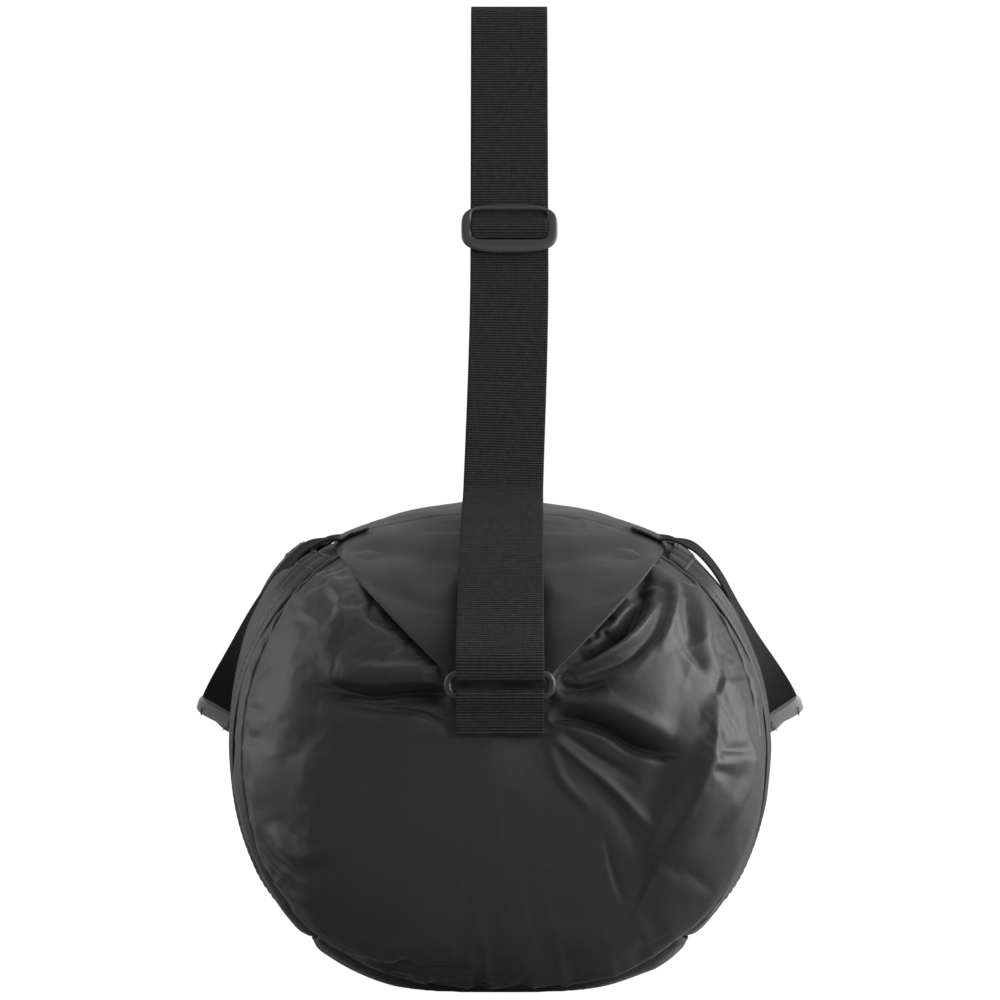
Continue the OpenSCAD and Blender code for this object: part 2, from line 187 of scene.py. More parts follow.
def make_object(name: str, points: Array, faces: list[tuple[int, ...]],
                uv: Array | None = None) -> bpy.types.Object:
    """Smooth-shaded mesh object.

    Args:
        name: the piece's name.
        points: corner positions.
        faces: corner numbers of each face.
        uv: lengths along and across the cloth, in metres, for each corner.

    Returns:
        The object, linked to the scene.
    """
    mesh = bpy.data.meshes.new(name)
    mesh.from_pydata(points.tolist(), [], faces)
    if uv is not None:
        layer = mesh.uv_layers.new(name="cloth")
        corners = np.zeros(len(mesh.loops), np.int32)
        mesh.loops.foreach_get("vertex_index", corners)
        layer.data.foreach_set("uv", uv[corners].astype(np.float32).ravel())
    mesh.polygons.foreach_set("use_smooth", np.ones(len(mesh.polygons), bool))
    mesh.validate()
    obj = bpy.data.objects.new(name, mesh)
    bpy.context.scene.collection.objects.link(obj)
    return obj


def grid_faces(rows: int, cols: int, wrap: bool = False, keep: Array | None = None) -> list[tuple[int, ...]]:
    """Faces of a grid of points.

    Args:
        rows: how many rows of points.
        cols: how many points in each row.
        wrap: whether the last column joins the first.
        keep: which faces stay, by row and column.

    Returns:
        Four corner numbers for each face.
    """
    out = []
    for i in range(rows - 1):
        for j in range(cols if wrap else cols - 1):
            if keep is None or keep[i, j]:
                k = (j + 1) % cols
                out.append((i * cols + j, i * cols + k, (i + 1) * cols + k, (i + 1) * cols + j))
    return out


def closing_faces(rows: int, cols: int) -> list[tuple[int, ...]]:
    """Faces that join the last row of a wrapped grid to its first."""
    last = (rows - 1) * cols
    return [(last + j, last + (j + 1) % cols, (j + 1) % cols, j) for j in range(cols)]


def grid_normals(points: Array, wrap: bool = False) -> Array:
    """Surface directions of a grid of points."""
    along = np.gradient(points, axis=0)
    if wrap:
        across = np.roll(points, -1, axis=1) - np.roll(points, 1, axis=1)
    else:
        across = np.gradient(points, axis=1)
    return unit(np.cross(across, along))


def outward(points: Array, middle: float, wrap: bool = False, weights: Sequence[float] = (1, 1, 1)) -> Array:
    """Surface directions of a grid that lead away from the bag's inside.

    Args:
        points: grid of positions.
        middle: height of the point that they lead away from.
        wrap: whether the last column joins the first.
        weights: how much each axis counts.

    Returns:
        A unit direction for each point.
    """
    normal = grid_normals(points, wrap)
    away = normal * (points - np.array([0, 0, middle])) * np.array(weights)
    return normal * np.sign(away.sum(-1, keepdims=True))


def grid_lengths(points: Array) -> Array:
    """Lengths along the rows and columns of a grid, as a UV map in metres."""
    down = np.linalg.norm(np.diff(points, axis=0), axis=2).mean(axis=1)
    side = np.linalg.norm(np.diff(points, axis=1), axis=2).mean(axis=0)
    v = np.concatenate([[0], np.cumsum(down)])
    u = np.concatenate([[0], np.cumsum(side)])
    return np.stack(np.meshgrid(u, v), axis=-1)


def apply_modifiers(obj: bpy.types.Object) -> bpy.types.Object:
    """Swaps an object's mesh for the one its modifiers make."""
    view = bpy.context.evaluated_depsgraph_get()
    mesh = bpy.data.meshes.new_from_object(obj.evaluated_get(view))
    old = obj.data
    obj.modifiers.clear()
    obj.data = mesh
    bpy.data.meshes.remove(old)
    return obj


def thicken(obj: bpy.types.Object, thickness: float) -> bpy.types.Object:
    """Gives an open sheet a thickness on its inner side and closes its edges."""
    weld = obj.modifiers.new("weld", "WELD")
    weld.merge_threshold = 0.02 * MM
    solid = obj.modifiers.new("thick", "SOLIDIFY")
    solid.thickness = thickness
    solid.offset = -1.0
    solid.use_even_offset = False
    return apply_modifiers(obj)


def facing_out(corner: Array, faces: list[tuple[int, ...]], middle: Array) -> list[tuple[int, ...]]:
    """Faces turned so that they look away from a point inside."""
    quads = np.array(faces[:: max(1, len(faces) // 400)])
    a, b, d = corner[quads[:, 0]], corner[quads[:, 1]], corner[quads[:, 3]]
    facing = np.cross(b - a, d - a) * (a - middle)
    return [f[::-1] for f in faces] if facing.sum() < 0 else faces


def cloth_piece(name: str, points: Array, thickness: float, wrap: bool = False,
                keep: Array | None = None) -> bpy.types.Object:
    """Sheet of cloth from a grid of points.

    Args:
        name: the piece's name.
        points: grid of positions on the outer side.
        thickness: how thick the cloth is.
        wrap: whether the last column joins the first.
        keep: which faces stay.

    Returns:
        The finished object.
    """
    rows, cols = points.shape[:2]
    corner = points.reshape(-1, 3)
    faces = facing_out(corner, grid_faces(rows, cols, wrap, keep), BAG_MIDDLE)
    obj = make_object(name, corner, faces, grid_lengths(points).reshape(-1, 2))
    return thicken(obj, thickness)


def sweep(name: str, path: Array, outline: Array, side: Array, closed: bool = False,
          scale: Array | None = None) -> bpy.types.Object:
    """Solid made by carrying an outline along a path.

    Args:
        name: the piece's name.
        path: points of the path.
        outline: the outline's points, as distances to the side and up.
        side: the side direction at each point of the path.
        closed: whether the path is a loop.
        scale: size of the outline at each point.

    Returns:
        The finished object.
    """
    count, ring = len(path), len(outline)
    ahead = tangents(path, closed)
    side = unit(side - ahead * (side * ahead).sum(axis=1, keepdims=True))
    up = np.cross(side, ahead)
    size = np.ones((count, 1, 1)) if scale is None else np.asarray(scale, float).reshape(count, 1, -1)
    shape = outline[None] * size
    points = path[:, None] + side[:, None] * shape[..., :1] + up[:, None] * shape[..., 1:]
    faces = grid_faces(count, ring, wrap=True)
    if closed:
        faces += closing_faces(count, ring)
    else:
        faces += [tuple(range(ring)), tuple(range(count * ring - 1, (count - 1) * ring - 1, -1))]
    run = np.concatenate([[0], np.cumsum(np.linalg.norm(np.diff(path, axis=0), axis=1))])
    grid = (count, ring)
    uv = np.stack([np.broadcast_to(run[:, None], grid), np.broadcast_to(outline[None, :, 0], grid)], -1)
    obj = make_object(name, points.reshape(-1, 3), faces, uv.reshape(-1, 2))
    obj.data.set_sharp_from_angle(angle=math.radians(62))
    return recalculated(obj)


def recalculated(obj: bpy.types.Object) -> bpy.types.Object:
    """Turns a closed mesh's faces outward."""
    work = bmesh.new()
    work.from_mesh(obj.data)
    bmesh.ops.recalc_face_normals(work, faces=work.faces)
    work.to_mesh(obj.data)
    work.free()
    return obj


def soft_box(width: float, height: float, power: float = 4.0, count: int = 20) -> Array:
    """Outline of a rounded rectangle."""
    a = np.linspace(0, 2 * math.pi, count, endpoint=False) + math.pi / count
    c, s = np.cos(a), np.sin(a)
    across, up = (np.sign(v) * np.abs(v) ** (2 / power) for v in (c, s))
    return np.stack([across * width / 2, up * height / 2], 1)


def webbing_outline(width: float, thickness: float) -> Array:
    """Outline of a flat woven band with rounded edges and a slightly thicker border."""
    half, t = width / 2, thickness / 2
    inner = half - 2.2 * MM
    top = [(inner * k / 4, t * 0.93) for k in range(-4, 5)]
    edge = [(half - 1.1 * MM, t), (half - 0.3 * MM, t * 0.8), (half, 0.0)]
    ring = top + edge + [(x, -y) for x, y in reversed(edge[:2])]
    ring += [(x, -y) for x, y in reversed(top)]
    ring += [(-x, -y) for x, y in edge] + [(-x, y) for x, y in reversed(edge[:2])]
    return np.array(ring)


def joined(name: str, parts: list[bpy.types.Object]) -> bpy.types.Object:
    """Joins meshes into one object, keeping their UV maps."""
    for other in bpy.context.selected_objects:
        other.select_set(False)
    for part in parts:
        part.select_set(True)
    bpy.context.view_layer.objects.active = parts[0]
    if len(parts) > 1:
        bpy.ops.object.join()
    parts[0].name = name
    parts[0].data.name = name
    parts[0].select_set(False)
    return parts[0]


def stitches(name: str, line: Array, lift: Array, length: float = 3.4 * MM, gap: float = 1.1 * MM,
             thick: float = 0.55 * MM) -> bpy.types.Object:
    """Row of thread stitches.

    Args:
        name: the piece's name.
        line: points of the seam line.
        lift: the cloth's outward direction at each point.
        length: length of one stitch.
        gap: space between two stitches.
        thick: thickness of the thread.

    Returns:
        The object with every stitch in it.
    """
    both = even_steps(np.hstack([line, lift]), length + gap)
    centre, up = both[:, :3], unit(both[:, 3:])
    ahead = tangents(centre)
    side = unit(np.cross(ahead, up))
    h = length / 2
    shape = [(-h, 0, 0), (-h * 0.6, 0, 1), (h * 0.6, 0, 1), (h, 0, 0), (-h * 0.6, 1, 0), (h * 0.6, 1, 0),
             (-h * 0.6, -1, 0), (h * 0.6, -1, 0), (-h * 0.6, 0, -1), (h * 0.6, 0, -1)]
    faces = [(0, 4, 1), (0, 1, 6), (0, 6, 8), (0, 8, 4), (1, 4, 5, 2), (6, 1, 2, 7), (8, 6, 7, 9),
             (4, 8, 9, 5), (3, 2, 5), (3, 7, 2), (3, 9, 7), (3, 5, 9)]
    points, all_faces = [], []
    for c, a, s, n in zip(centre, ahead, side, up):
        base = len(points)
        points += [c + a * x + s * y * thick / 2 + n * z * thick / 2 for x, y, z in shape]
        all_faces += [tuple(base + k for k in f) for f in faces]
    return recalculated(make_object(name, np.array(points), all_faces))


# ------------------------------------------------------------------ shader building


class Graph:
    """Short way to add and link shader nodes in one tree."""

    def __init__(self, tree: bpy.types.NodeTree) -> None:
        """Keeps the tree that nodes are added to."""
        self.tree = tree

    def add(self, kind: str, inputs: dict | None = None, **settings: object) -> bpy.types.Node:
        """Adds a node.

        Args:
            kind: node type, without the ShaderNode at its front.
            inputs: value or socket for each named or numbered input.
            settings: properties of the node.

        Returns:
            The new node.
        """
        node = self.tree.nodes.new("ShaderNode" + kind)
        for key, value in settings.items():
            setattr(node, key, value)
        for key, value in (inputs or {}).items():
            if isinstance(value, bpy.types.NodeSocket):
                self.tree.links.new(value, node.inputs[key])
            else:
                node.inputs[key].default_value = value
        return node

    def maths(self, operation: str, *values: object) -> bpy.types.NodeSocket:
        """Result of a Math node on the given values or sockets."""
        return self.add("Math", dict(enumerate(values)), operation=operation).outputs[0]

    def mix(self, share: object, first: object, second: object) -> bpy.types.NodeSocket:
        """Colour mixed from two colours or sockets."""
        node = self.add("Mix", {0: share, 6: first, 7: second}, data_type="RGBA")
        return node.outputs[2]

    def noise(self, where: bpy.types.NodeSocket, scale: float, detail: float = 3.0) -> bpy.types.NodeSocket:
        """Noise over a position."""
        return self.add("TexNoise", {"Vector": where, "Scale": scale, "Detail": detail}).outputs[0]


def empty_graph(owner: bpy.types.Material | bpy.types.World) -> Graph:
    """Clears a material or world of nodes, ready for its own."""
    owner.use_nodes = True
    owner.node_tree.nodes.clear()
    return Graph(owner.node_tree)


class SharedGroup:
    """A shader node group with named inputs and outputs, built once."""

    def __init__(self, name: str, inputs: dict[str, float | tuple], outputs: Sequence[str],
                 build: Callable[[Graph, dict, dict], None]) -> None:
        """Builds the group.

        Args:
            name: the group's name.
            inputs: default of each input; a tuple makes a colour.
            outputs: names of the outputs; one that ends in colour is a colour.
            build: fills the group, given its graph, its input sockets and its output sockets.
        """
        self.tree = bpy.data.node_groups.new(name, "ShaderNodeTree")
        for key, default in inputs.items():
            kind = "NodeSocketColor" if isinstance(default, tuple) else "NodeSocketFloat"
            socket = self.tree.interface.new_socket(name=key, in_out="INPUT", socket_type=kind)
            socket.default_value = default
        for key in outputs:
            kind = "NodeSocketColor" if key.endswith("colour") else "NodeSocketFloat"
            self.tree.interface.new_socket(name=key, in_out="OUTPUT", socket_type=kind)
        start = self.tree.nodes.new("NodeGroupInput")
        end = self.tree.nodes.new("NodeGroupOutput")
        results: dict[str, bpy.types.NodeSocket] = {}
        build(Graph(self.tree), {s.name: s for s in start.outputs if s.name}, results)
        for key, socket in results.items():
            self.tree.links.new(socket, end.inputs[key])

    def place(self, graph: Graph, **values: object) -> bpy.types.Node:
        """Puts the group in a material.

        Args:
            graph: the material's graph.
            values: value or socket for each input, with spaces written as underscores.

        Returns:
            The group node.
        """
        node = graph.tree.nodes.new("ShaderNodeGroup")
        node.node_tree = self.tree
        for key, value in values.items():
            socket = node.inputs[key.replace("_", " ")]
            if isinstance(value, bpy.types.NodeSocket):
                graph.tree.links.new(value, socket)
            else:
                socket.default_value = value
        return node


def build_weave(g: Graph, given: dict, out: dict) -> None:
    """Fills the plain-weave group: threads that pass over and under each other, with painted shade that darkens
    the colour where they dip.
    """
    uv = g.add("UVMap", uv_map="cloth").outputs[0]
    split = g.add("SeparateXYZ", {0: uv})
    turn = [g.maths("MULTIPLY", split.outputs[k], given["Threads per metre"]) for k in (0, 1)]
    wave = [g.maths("SINE", g.maths("MULTIPLY", t, math.tau)) for t in turn]
    height = g.maths("MULTIPLY", wave[0], wave[1])
    out["Height"] = g.maths("MULTIPLY", height, given["Depth"])
    # Painted shade: the colour is darkened where the threads dip under each other.
    out["Shade"] = g.maths("MULTIPLY_ADD", height, given["Contrast"], 1.0)


def build_webbing(g: Graph, given: dict, out: dict) -> None:
    """Fills the webbing group: ribs across the band and fine cords along it, with painted shade in the dips
    between them and a random tone.
    """
    uv = g.add("UVMap", uv_map="cloth").outputs[0]
    where = g.add("TexCoord").outputs["Object"]
    split = g.add("SeparateXYZ", {0: uv})
    wander = g.maths("MULTIPLY", g.noise(where, 60.0), 0.35)
    along = g.maths("ADD", g.maths("DIVIDE", split.outputs[0], given["Rib pitch"]), wander)
    across = g.maths("DIVIDE", split.outputs[1], given["Cord pitch"])
    rib = g.maths("ABSOLUTE", g.maths("SINE", g.maths("MULTIPLY", along, math.pi)))
    cord = g.maths("ABSOLUTE", g.maths("SINE", g.maths("MULTIPLY", across, math.pi)))
    cord = g.maths("MULTIPLY", g.maths("POWER", cord, 0.7), 0.35)
    height = g.maths("ADD", g.maths("POWER", rib, 1.6), cord)
    out["Height"] = g.maths("MULTIPLY", height, given["Depth"])
    # Painted shade darkens the colour in the dips between ribs and cords; the added noise is a random tone of the
    # webbing.
    tone = g.maths("MULTIPLY_ADD", height, given["Contrast"], g.maths("SUBTRACT", 1.0, given["Contrast"]))
    out["Shade"] = g.maths("ADD", tone, g.maths("MULTIPLY", g.noise(where, 300.0), given["Contrast"]))


def build_creasing(g: Graph, given: dict, out: dict) -> None:
    """Fills the creasing group: small dents and handling marks."""
    where = g.add("TexCoord").outputs["Object"]
    broad = g.noise(where, given["Broad scale"], 4.0)
    ridge = g.maths("ABSOLUTE", g.maths("SUBTRACT", g.noise(where, given["Fine scale"], 1.0), 0.5))
    ridge = g.maths("POWER", g.maths("SUBTRACT", 1.0, g.maths("MULTIPLY", ridge, 2.0)), 9.0)
    dents = g.maths("MULTIPLY", broad, given["Broad depth"])
    out["Height"] = g.maths("ADD", dents, g.maths("MULTIPLY", ridge, given["Fine depth"]))
    out["Mask"] = broad


def build_wear(g: Graph, given: dict, out: dict) -> None:
    """Fills the wear group: rubbed high spots, grime and pale dust, as a colour and a roughness."""
    where = g.add("TexCoord").outputs["Object"]
    patch = g.add("ValToRGB", {0: g.noise(where, 9.0, 5.0)})
    patch.color_ramp.elements[0].position = 0.42
    patch.color_ramp.elements[1].position = 0.72
    edge = g.add("ValToRGB", {0: g.add("NewGeometry").outputs["Pointiness"]})
    edge.color_ramp.elements[0].position = 0.52
    edge.color_ramp.elements[1].position = 0.60
    rub = g.maths("MULTIPLY", edge.outputs[0], given["Rub"])
    speck = g.maths("MULTIPLY", g.maths("POWER", g.noise(where, 420.0, 2.0), 3.0), given["Dust"])
    tint = g.maths("MULTIPLY", patch.outputs[0], given["Dust"])
    shaded = g.mix(tint, given["Base colour"], given["Worn colour"])
    rubbed = g.mix(g.maths("ADD", rub, speck), shaded, given["Worn colour"])
    out["Worn colour"] = rubbed
    out["Roughness"] = g.maths("ADD", given["Roughness"], g.maths("MULTIPLY", tint, 0.4))


class Effects:
    """The shader groups that the finishes share."""

    def __init__(self) -> None:
        """Builds every group once."""
        black, grey = (0.02, 0.02, 0.02, 1.0), (0.1, 0.1, 0.1, 1.0)
        self.weave = SharedGroup(
            "plain_weave", {"Threads per metre": 2200.0, "Depth": 1.0, "Contrast": 0.1},
            ("Height", "Shade"), build_weave)
        self.webbing = SharedGroup(
            "ribbed_webbing", {"Rib pitch": 0.0015, "Cord pitch": 0.0012, "Depth": 1.0, "Contrast": 0.3},
            ("Height", "Shade"), build_webbing)
        self.creasing = SharedGroup(
            "cloth_creasing", {"Broad scale": 18.0, "Fine scale": 30.0, "Broad depth": 1.0, "Fine depth": 0.3},
            ("Height", "Mask"), build_creasing)
        self.wear = SharedGroup(
            "wear_and_dust",
            {"Base colour": black, "Worn colour": grey, "Rub": 0.2, "Dust": 0.2, "Roughness": 0.5},
            ("Worn colour", "Roughness"), build_wear)


class Texture(Enum):
    """What the surface of a finish is made of."""

    WOVEN = "woven"
    RIBBED = "ribbed"
    MOULDED = "moulded"


@dataclass(frozen=True)
class Finish:
    """A material of the bag, with the amounts of each effect."""

    name: str
    texture: Texture
    colour: tuple[float, float, float]
    worn: tuple[float, float, float]
    roughness: float
    sheen: float = 0.0
    sheen_roughness: float = 0.4
    specular: float = 0.5
    metallic: float = 0.0
    rub: float = 0.15
    dust: float = 0.1
    pitch: float = 0.45 * MM
    cord_pitch: float = 1.2 * MM
    relief: float = 0.05 * MM
    # how strongly the weave or ribs darken the colour in their dips, as painted shade
    contrast: float = 0.12
    broad: float = 0.5 * MM
    fine: float = 0.15 * MM

    def build(self, effects: Effects) -> bpy.types.Material:
        """Makes the material.

        Args:
            effects: the shared shader groups.

        Returns:
            The material.
        """
        material = bpy.data.materials.new(self.name)
        g = empty_graph(material)
        wear = effects.wear.place(g, Base_colour=(*self.colour, 1.0), Worn_colour=(*self.worn, 1.0),
                                  Rub=self.rub, Dust=self.dust, Roughness=self.roughness)
        colour = wear.outputs["Worn colour"]
        creases = effects.creasing.place(g, Broad_scale=16.0 if self.texture is Texture.WOVEN else 60.0,
                                         Fine_scale=24.0, Broad_depth=self.broad, Fine_depth=self.fine)
        if self.texture is Texture.MOULDED:
            grain = g.noise(g.add("TexCoord").outputs["Object"], 1400.0, 2.0)
            fine = g.maths("MULTIPLY", grain, self.relief)
        else:
            if self.texture is Texture.WOVEN:
                threads = effects.weave.place(g, Threads_per_metre=0.5 / self.pitch, Depth=self.relief,
                                              Contrast=self.contrast)
            else:
                threads = effects.webbing.place(g, Rib_pitch=self.pitch, Cord_pitch=self.cord_pitch,
                                                Depth=self.relief, Contrast=self.contrast)
            fine = threads.outputs["Height"]
            # The colour is scaled by the painted shade of the weave or ribs, with the ribs' random tone.
            shade = threads.outputs["Shade"]
            colour = g.add("VectorMath", {0: colour, 3: shade}, operation="SCALE").outputs[0]
        height = g.maths("ADD", fine, creases.outputs["Height"])
        bump = g.add("Bump", {"Height": height, "Distance": 1.0, "Strength": 1.0})
        shader = g.add("BsdfPrincipled", {
            "Base Color": colour, "Roughness": wear.outputs["Roughness"], "Normal": bump.outputs[0],
            "Sheen Weight": self.sheen, "Sheen Roughness": self.sheen_roughness,
            "Specular IOR Level": self.specular, "Metallic": self.metallic,
        })
        g.add("OutputMaterial", {0: shader.outputs[0]})
        return material


NYLON = Finish(
    "black_nylon", Texture.WOVEN, (0.019, 0.019, 0.0195), (0.05, 0.05, 0.051), 0.48, sheen=0.16,
    sheen_roughness=0.35, specular=0.5, rub=0.05, dust=0.03, broad=0.8 * MM, fine=0.12 * MM, relief=0.03 * MM)
LID_NYLON = replace(
    NYLON, name="lid_nylon", colour=(0.018, 0.018, 0.0185), worn=(0.05, 0.05, 0.052), roughness=0.52, sheen=0.14,
    specular=0.45)
HEM = Finish(
    "hem_cloth", Texture.WOVEN, (0.014, 0.014, 0.015), (0.05, 0.05, 0.05), 0.5, sheen=0.2, rub=0.2, dust=0.1)
PATCH = Finish(
    "base_patch", Texture.WOVEN, (0.010, 0.010, 0.011), (0.06, 0.058, 0.055), 0.62, pitch=0.9 * MM,
    relief=0.14 * MM, rub=0.4, dust=0.3, contrast=0.2)
# The strap's ribs carry strong painted shade in their dips (contrast 1.15) for the light and dark of its ribbing.
STRAP = Finish(
    "strap_webbing", Texture.RIBBED, (0.030, 0.030, 0.0305), (0.05, 0.05, 0.051), 0.7, specular=0.07,
    pitch=1.75 * MM, relief=0.8 * MM, contrast=1.15, rub=0.2, dust=0.05, broad=0.1 * MM, fine=0.05 * MM)
HANDLE = Finish(
    "handle_webbing", Texture.RIBBED, (0.006, 0.006, 0.0065), (0.03, 0.03, 0.03), 0.7, sheen=0.02, specular=0.18,
    pitch=1.3 * MM, cord_pitch=1.0 * MM, relief=0.3 * MM, contrast=0.35, rub=0.25, dust=0.08, broad=0.1 * MM,
    fine=0.05 * MM)
GRIP = Finish(
    "grip_wrap", Texture.WOVEN, (0.24, 0.243, 0.248), (0.36, 0.36, 0.36), 0.55, sheen=0.2, pitch=0.8 * MM,
    relief=0.12 * MM, contrast=0.25, rub=0.1, dust=0.2, broad=0.4 * MM)
THREAD = Finish(
    "black_thread", Texture.MOULDED, (0.02, 0.02, 0.021), (0.06, 0.06, 0.06), 0.55, rub=0.1, relief=0.02 * MM,
    broad=0.02 * MM, fine=0.0)
RING_PLASTIC = Finish(
    "ring_plastic", Texture.MOULDED, (0.022, 0.022, 0.024), (0.11, 0.11, 0.115), 0.30, specular=0.6, rub=0.5,
    dust=0.05, relief=0.02 * MM, broad=0.03 * MM, fine=0.01 * MM)
ADJUSTER_PLASTIC = Finish(
    "adjuster_plastic", Texture.MOULDED, (0.046, 0.046, 0.048), (0.12, 0.12, 0.125), 0.36, specular=0.55, rub=0.4,
    dust=0.08, relief=0.03 * MM, broad=0.03 * MM, fine=0.01 * MM)
ZIP_TAPE = Finish(
    "zip_tape", Texture.WOVEN, (0.010, 0.010, 0.011), (0.04, 0.04, 0.04), 0.65, pitch=0.5 * MM, relief=0.08 * MM)
ZIP_COIL = Finish(
    "zip_coil", Texture.MOULDED, (0.010, 0.010, 0.011), (0.06, 0.06, 0.06), 0.35, rub=0.3, relief=0.01 * MM,
    broad=0.01 * MM, fine=0.0)
ZIP_METAL = Finish(
    "zip_metal", Texture.MOULDED, (0.03, 0.03, 0.032), (0.35, 0.35, 0.36), 0.30, metallic=0.6, rub=0.6,
    relief=0.015 * MM, broad=0.02 * MM, fine=0.01 * MM)
ROPE_TIE = Finish(
    "rope_tie", Texture.RIBBED, (0.2, 0.014, 0.012), (0.3, 0.1, 0.1), 0.6, pitch=1.0 * MM, relief=0.2 * MM)


class Workshop:
    """Dresses pieces, fixes them to their bodies and reports them."""

    def __init__(self) -> None:
        """Builds the shared groups and remembers each finish that is made."""
        self.effects = Effects()
        self.made: dict[str, bpy.types.Material] = {}

    def material(self, finish: Finish) -> bpy.types.Material:
        """The material of a finish, made on first use."""
        if finish.name not in self.made:
            self.made[finish.name] = finish.build(self.effects)
        return self.made[finish.name]

    def dress(self, obj: bpy.types.Object, finish: Finish) -> bpy.types.Object:
        """Gives an object one finish all over."""
        obj.data.materials.clear()
        obj.data.materials.append(self.material(finish))
        return obj

    def fix(self, obj: bpy.types.Object, finish: Finish, body: str, slot: str, *nodes: str) -> bpy.types.Object:
        """Dresses a piece and makes it ride on a body.

        Args:
            obj: the piece.
            finish: its finish.
            body: the body it moves with.
            slot: not used.
            nodes: nodes of the frame that it stands for.

        Returns:
            The piece.
        """
        self.dress(obj, finish)
        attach(obj, body)
        if nodes:
            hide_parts(*nodes)
        LOG.info("%s rides on %s, %d faces", obj.name, body, len(obj.data.polygons))
        return obj

    def redress(self, node: str, finish: Finish) -> None:
        """Gives a node of the frame a finish, with a UV map for its weave."""
        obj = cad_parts[node]
        mesh = obj.data
        if "cloth" not in mesh.uv_layers:
            layer = mesh.uv_layers.new(name="cloth")
            corners = np.zeros(len(mesh.loops), np.int32)
            mesh.loops.foreach_get("vertex_index", corners)
            at = np.array([v.co for v in mesh.vertices])
            layer.data.foreach_set("uv", at[corners][:, [1, 0]].astype(np.float32).ravel())
        self.dress(obj, finish)
        LOG.info("%s keeps its shape", node)


# ------------------------------------------------------------------ the bag's form


class Side(Enum):
    """Left or right side of the bag, as the sign of X."""

    LEFT = -1
    RIGHT = 1


class End(Enum):
    """Front or rear end of the bag, as the sign of Y."""

    FRONT = -1
    REAR = 1


@dataclass(frozen=True)
class Fold:
    """A fold along a bent line on an end of the bag, seen end-on."""

    line: tuple[Point, ...]
    depth: float
    width: float
    hard_side: float = 0.0

    def height(self, x: Array, z: Array) -> Array:
        """How far the fold moves the cloth out.

        Args:
            x: distances to the right, in millimetres.
            z: heights, in millimetres.

        Returns:
            The movement, in millimetres, at each place.
        """
        path = curve_through(self.line, 5)
        best = np.full(x.shape, 1e9)
        where = np.zeros(x.shape)
        signed = np.zeros(x.shape)
        spans = len(path) - 1
        for i in range(spans):
            (ax, az), (bx, bz) = path[i], path[i + 1]
            dx, dz = bx - ax, bz - az
            length = math.hypot(dx, dz)
            t = np.clip(((x - ax) * dx + (z - az) * dz) / length**2, 0, 1)
            px, pz = x - ax - dx * t, z - az - dz * t
            d = np.hypot(px, pz)
            closer = d < best
            best = np.where(closer, d, best)
            where = np.where(closer, (i + t) / spans, where)
            signed = np.where(closer, np.sign(px * dz - pz * dx), signed)
        width = self.width * np.where(signed * self.hard_side > 0, 1.0 - abs(self.hard_side), 1.0)
        fade = np.sqrt(np.clip(np.sin(math.pi * np.clip(where * 0.92 + 0.04, 0, 1)), 0, 1))
        return self.depth * fade * np.exp(-((best / width) ** 2))


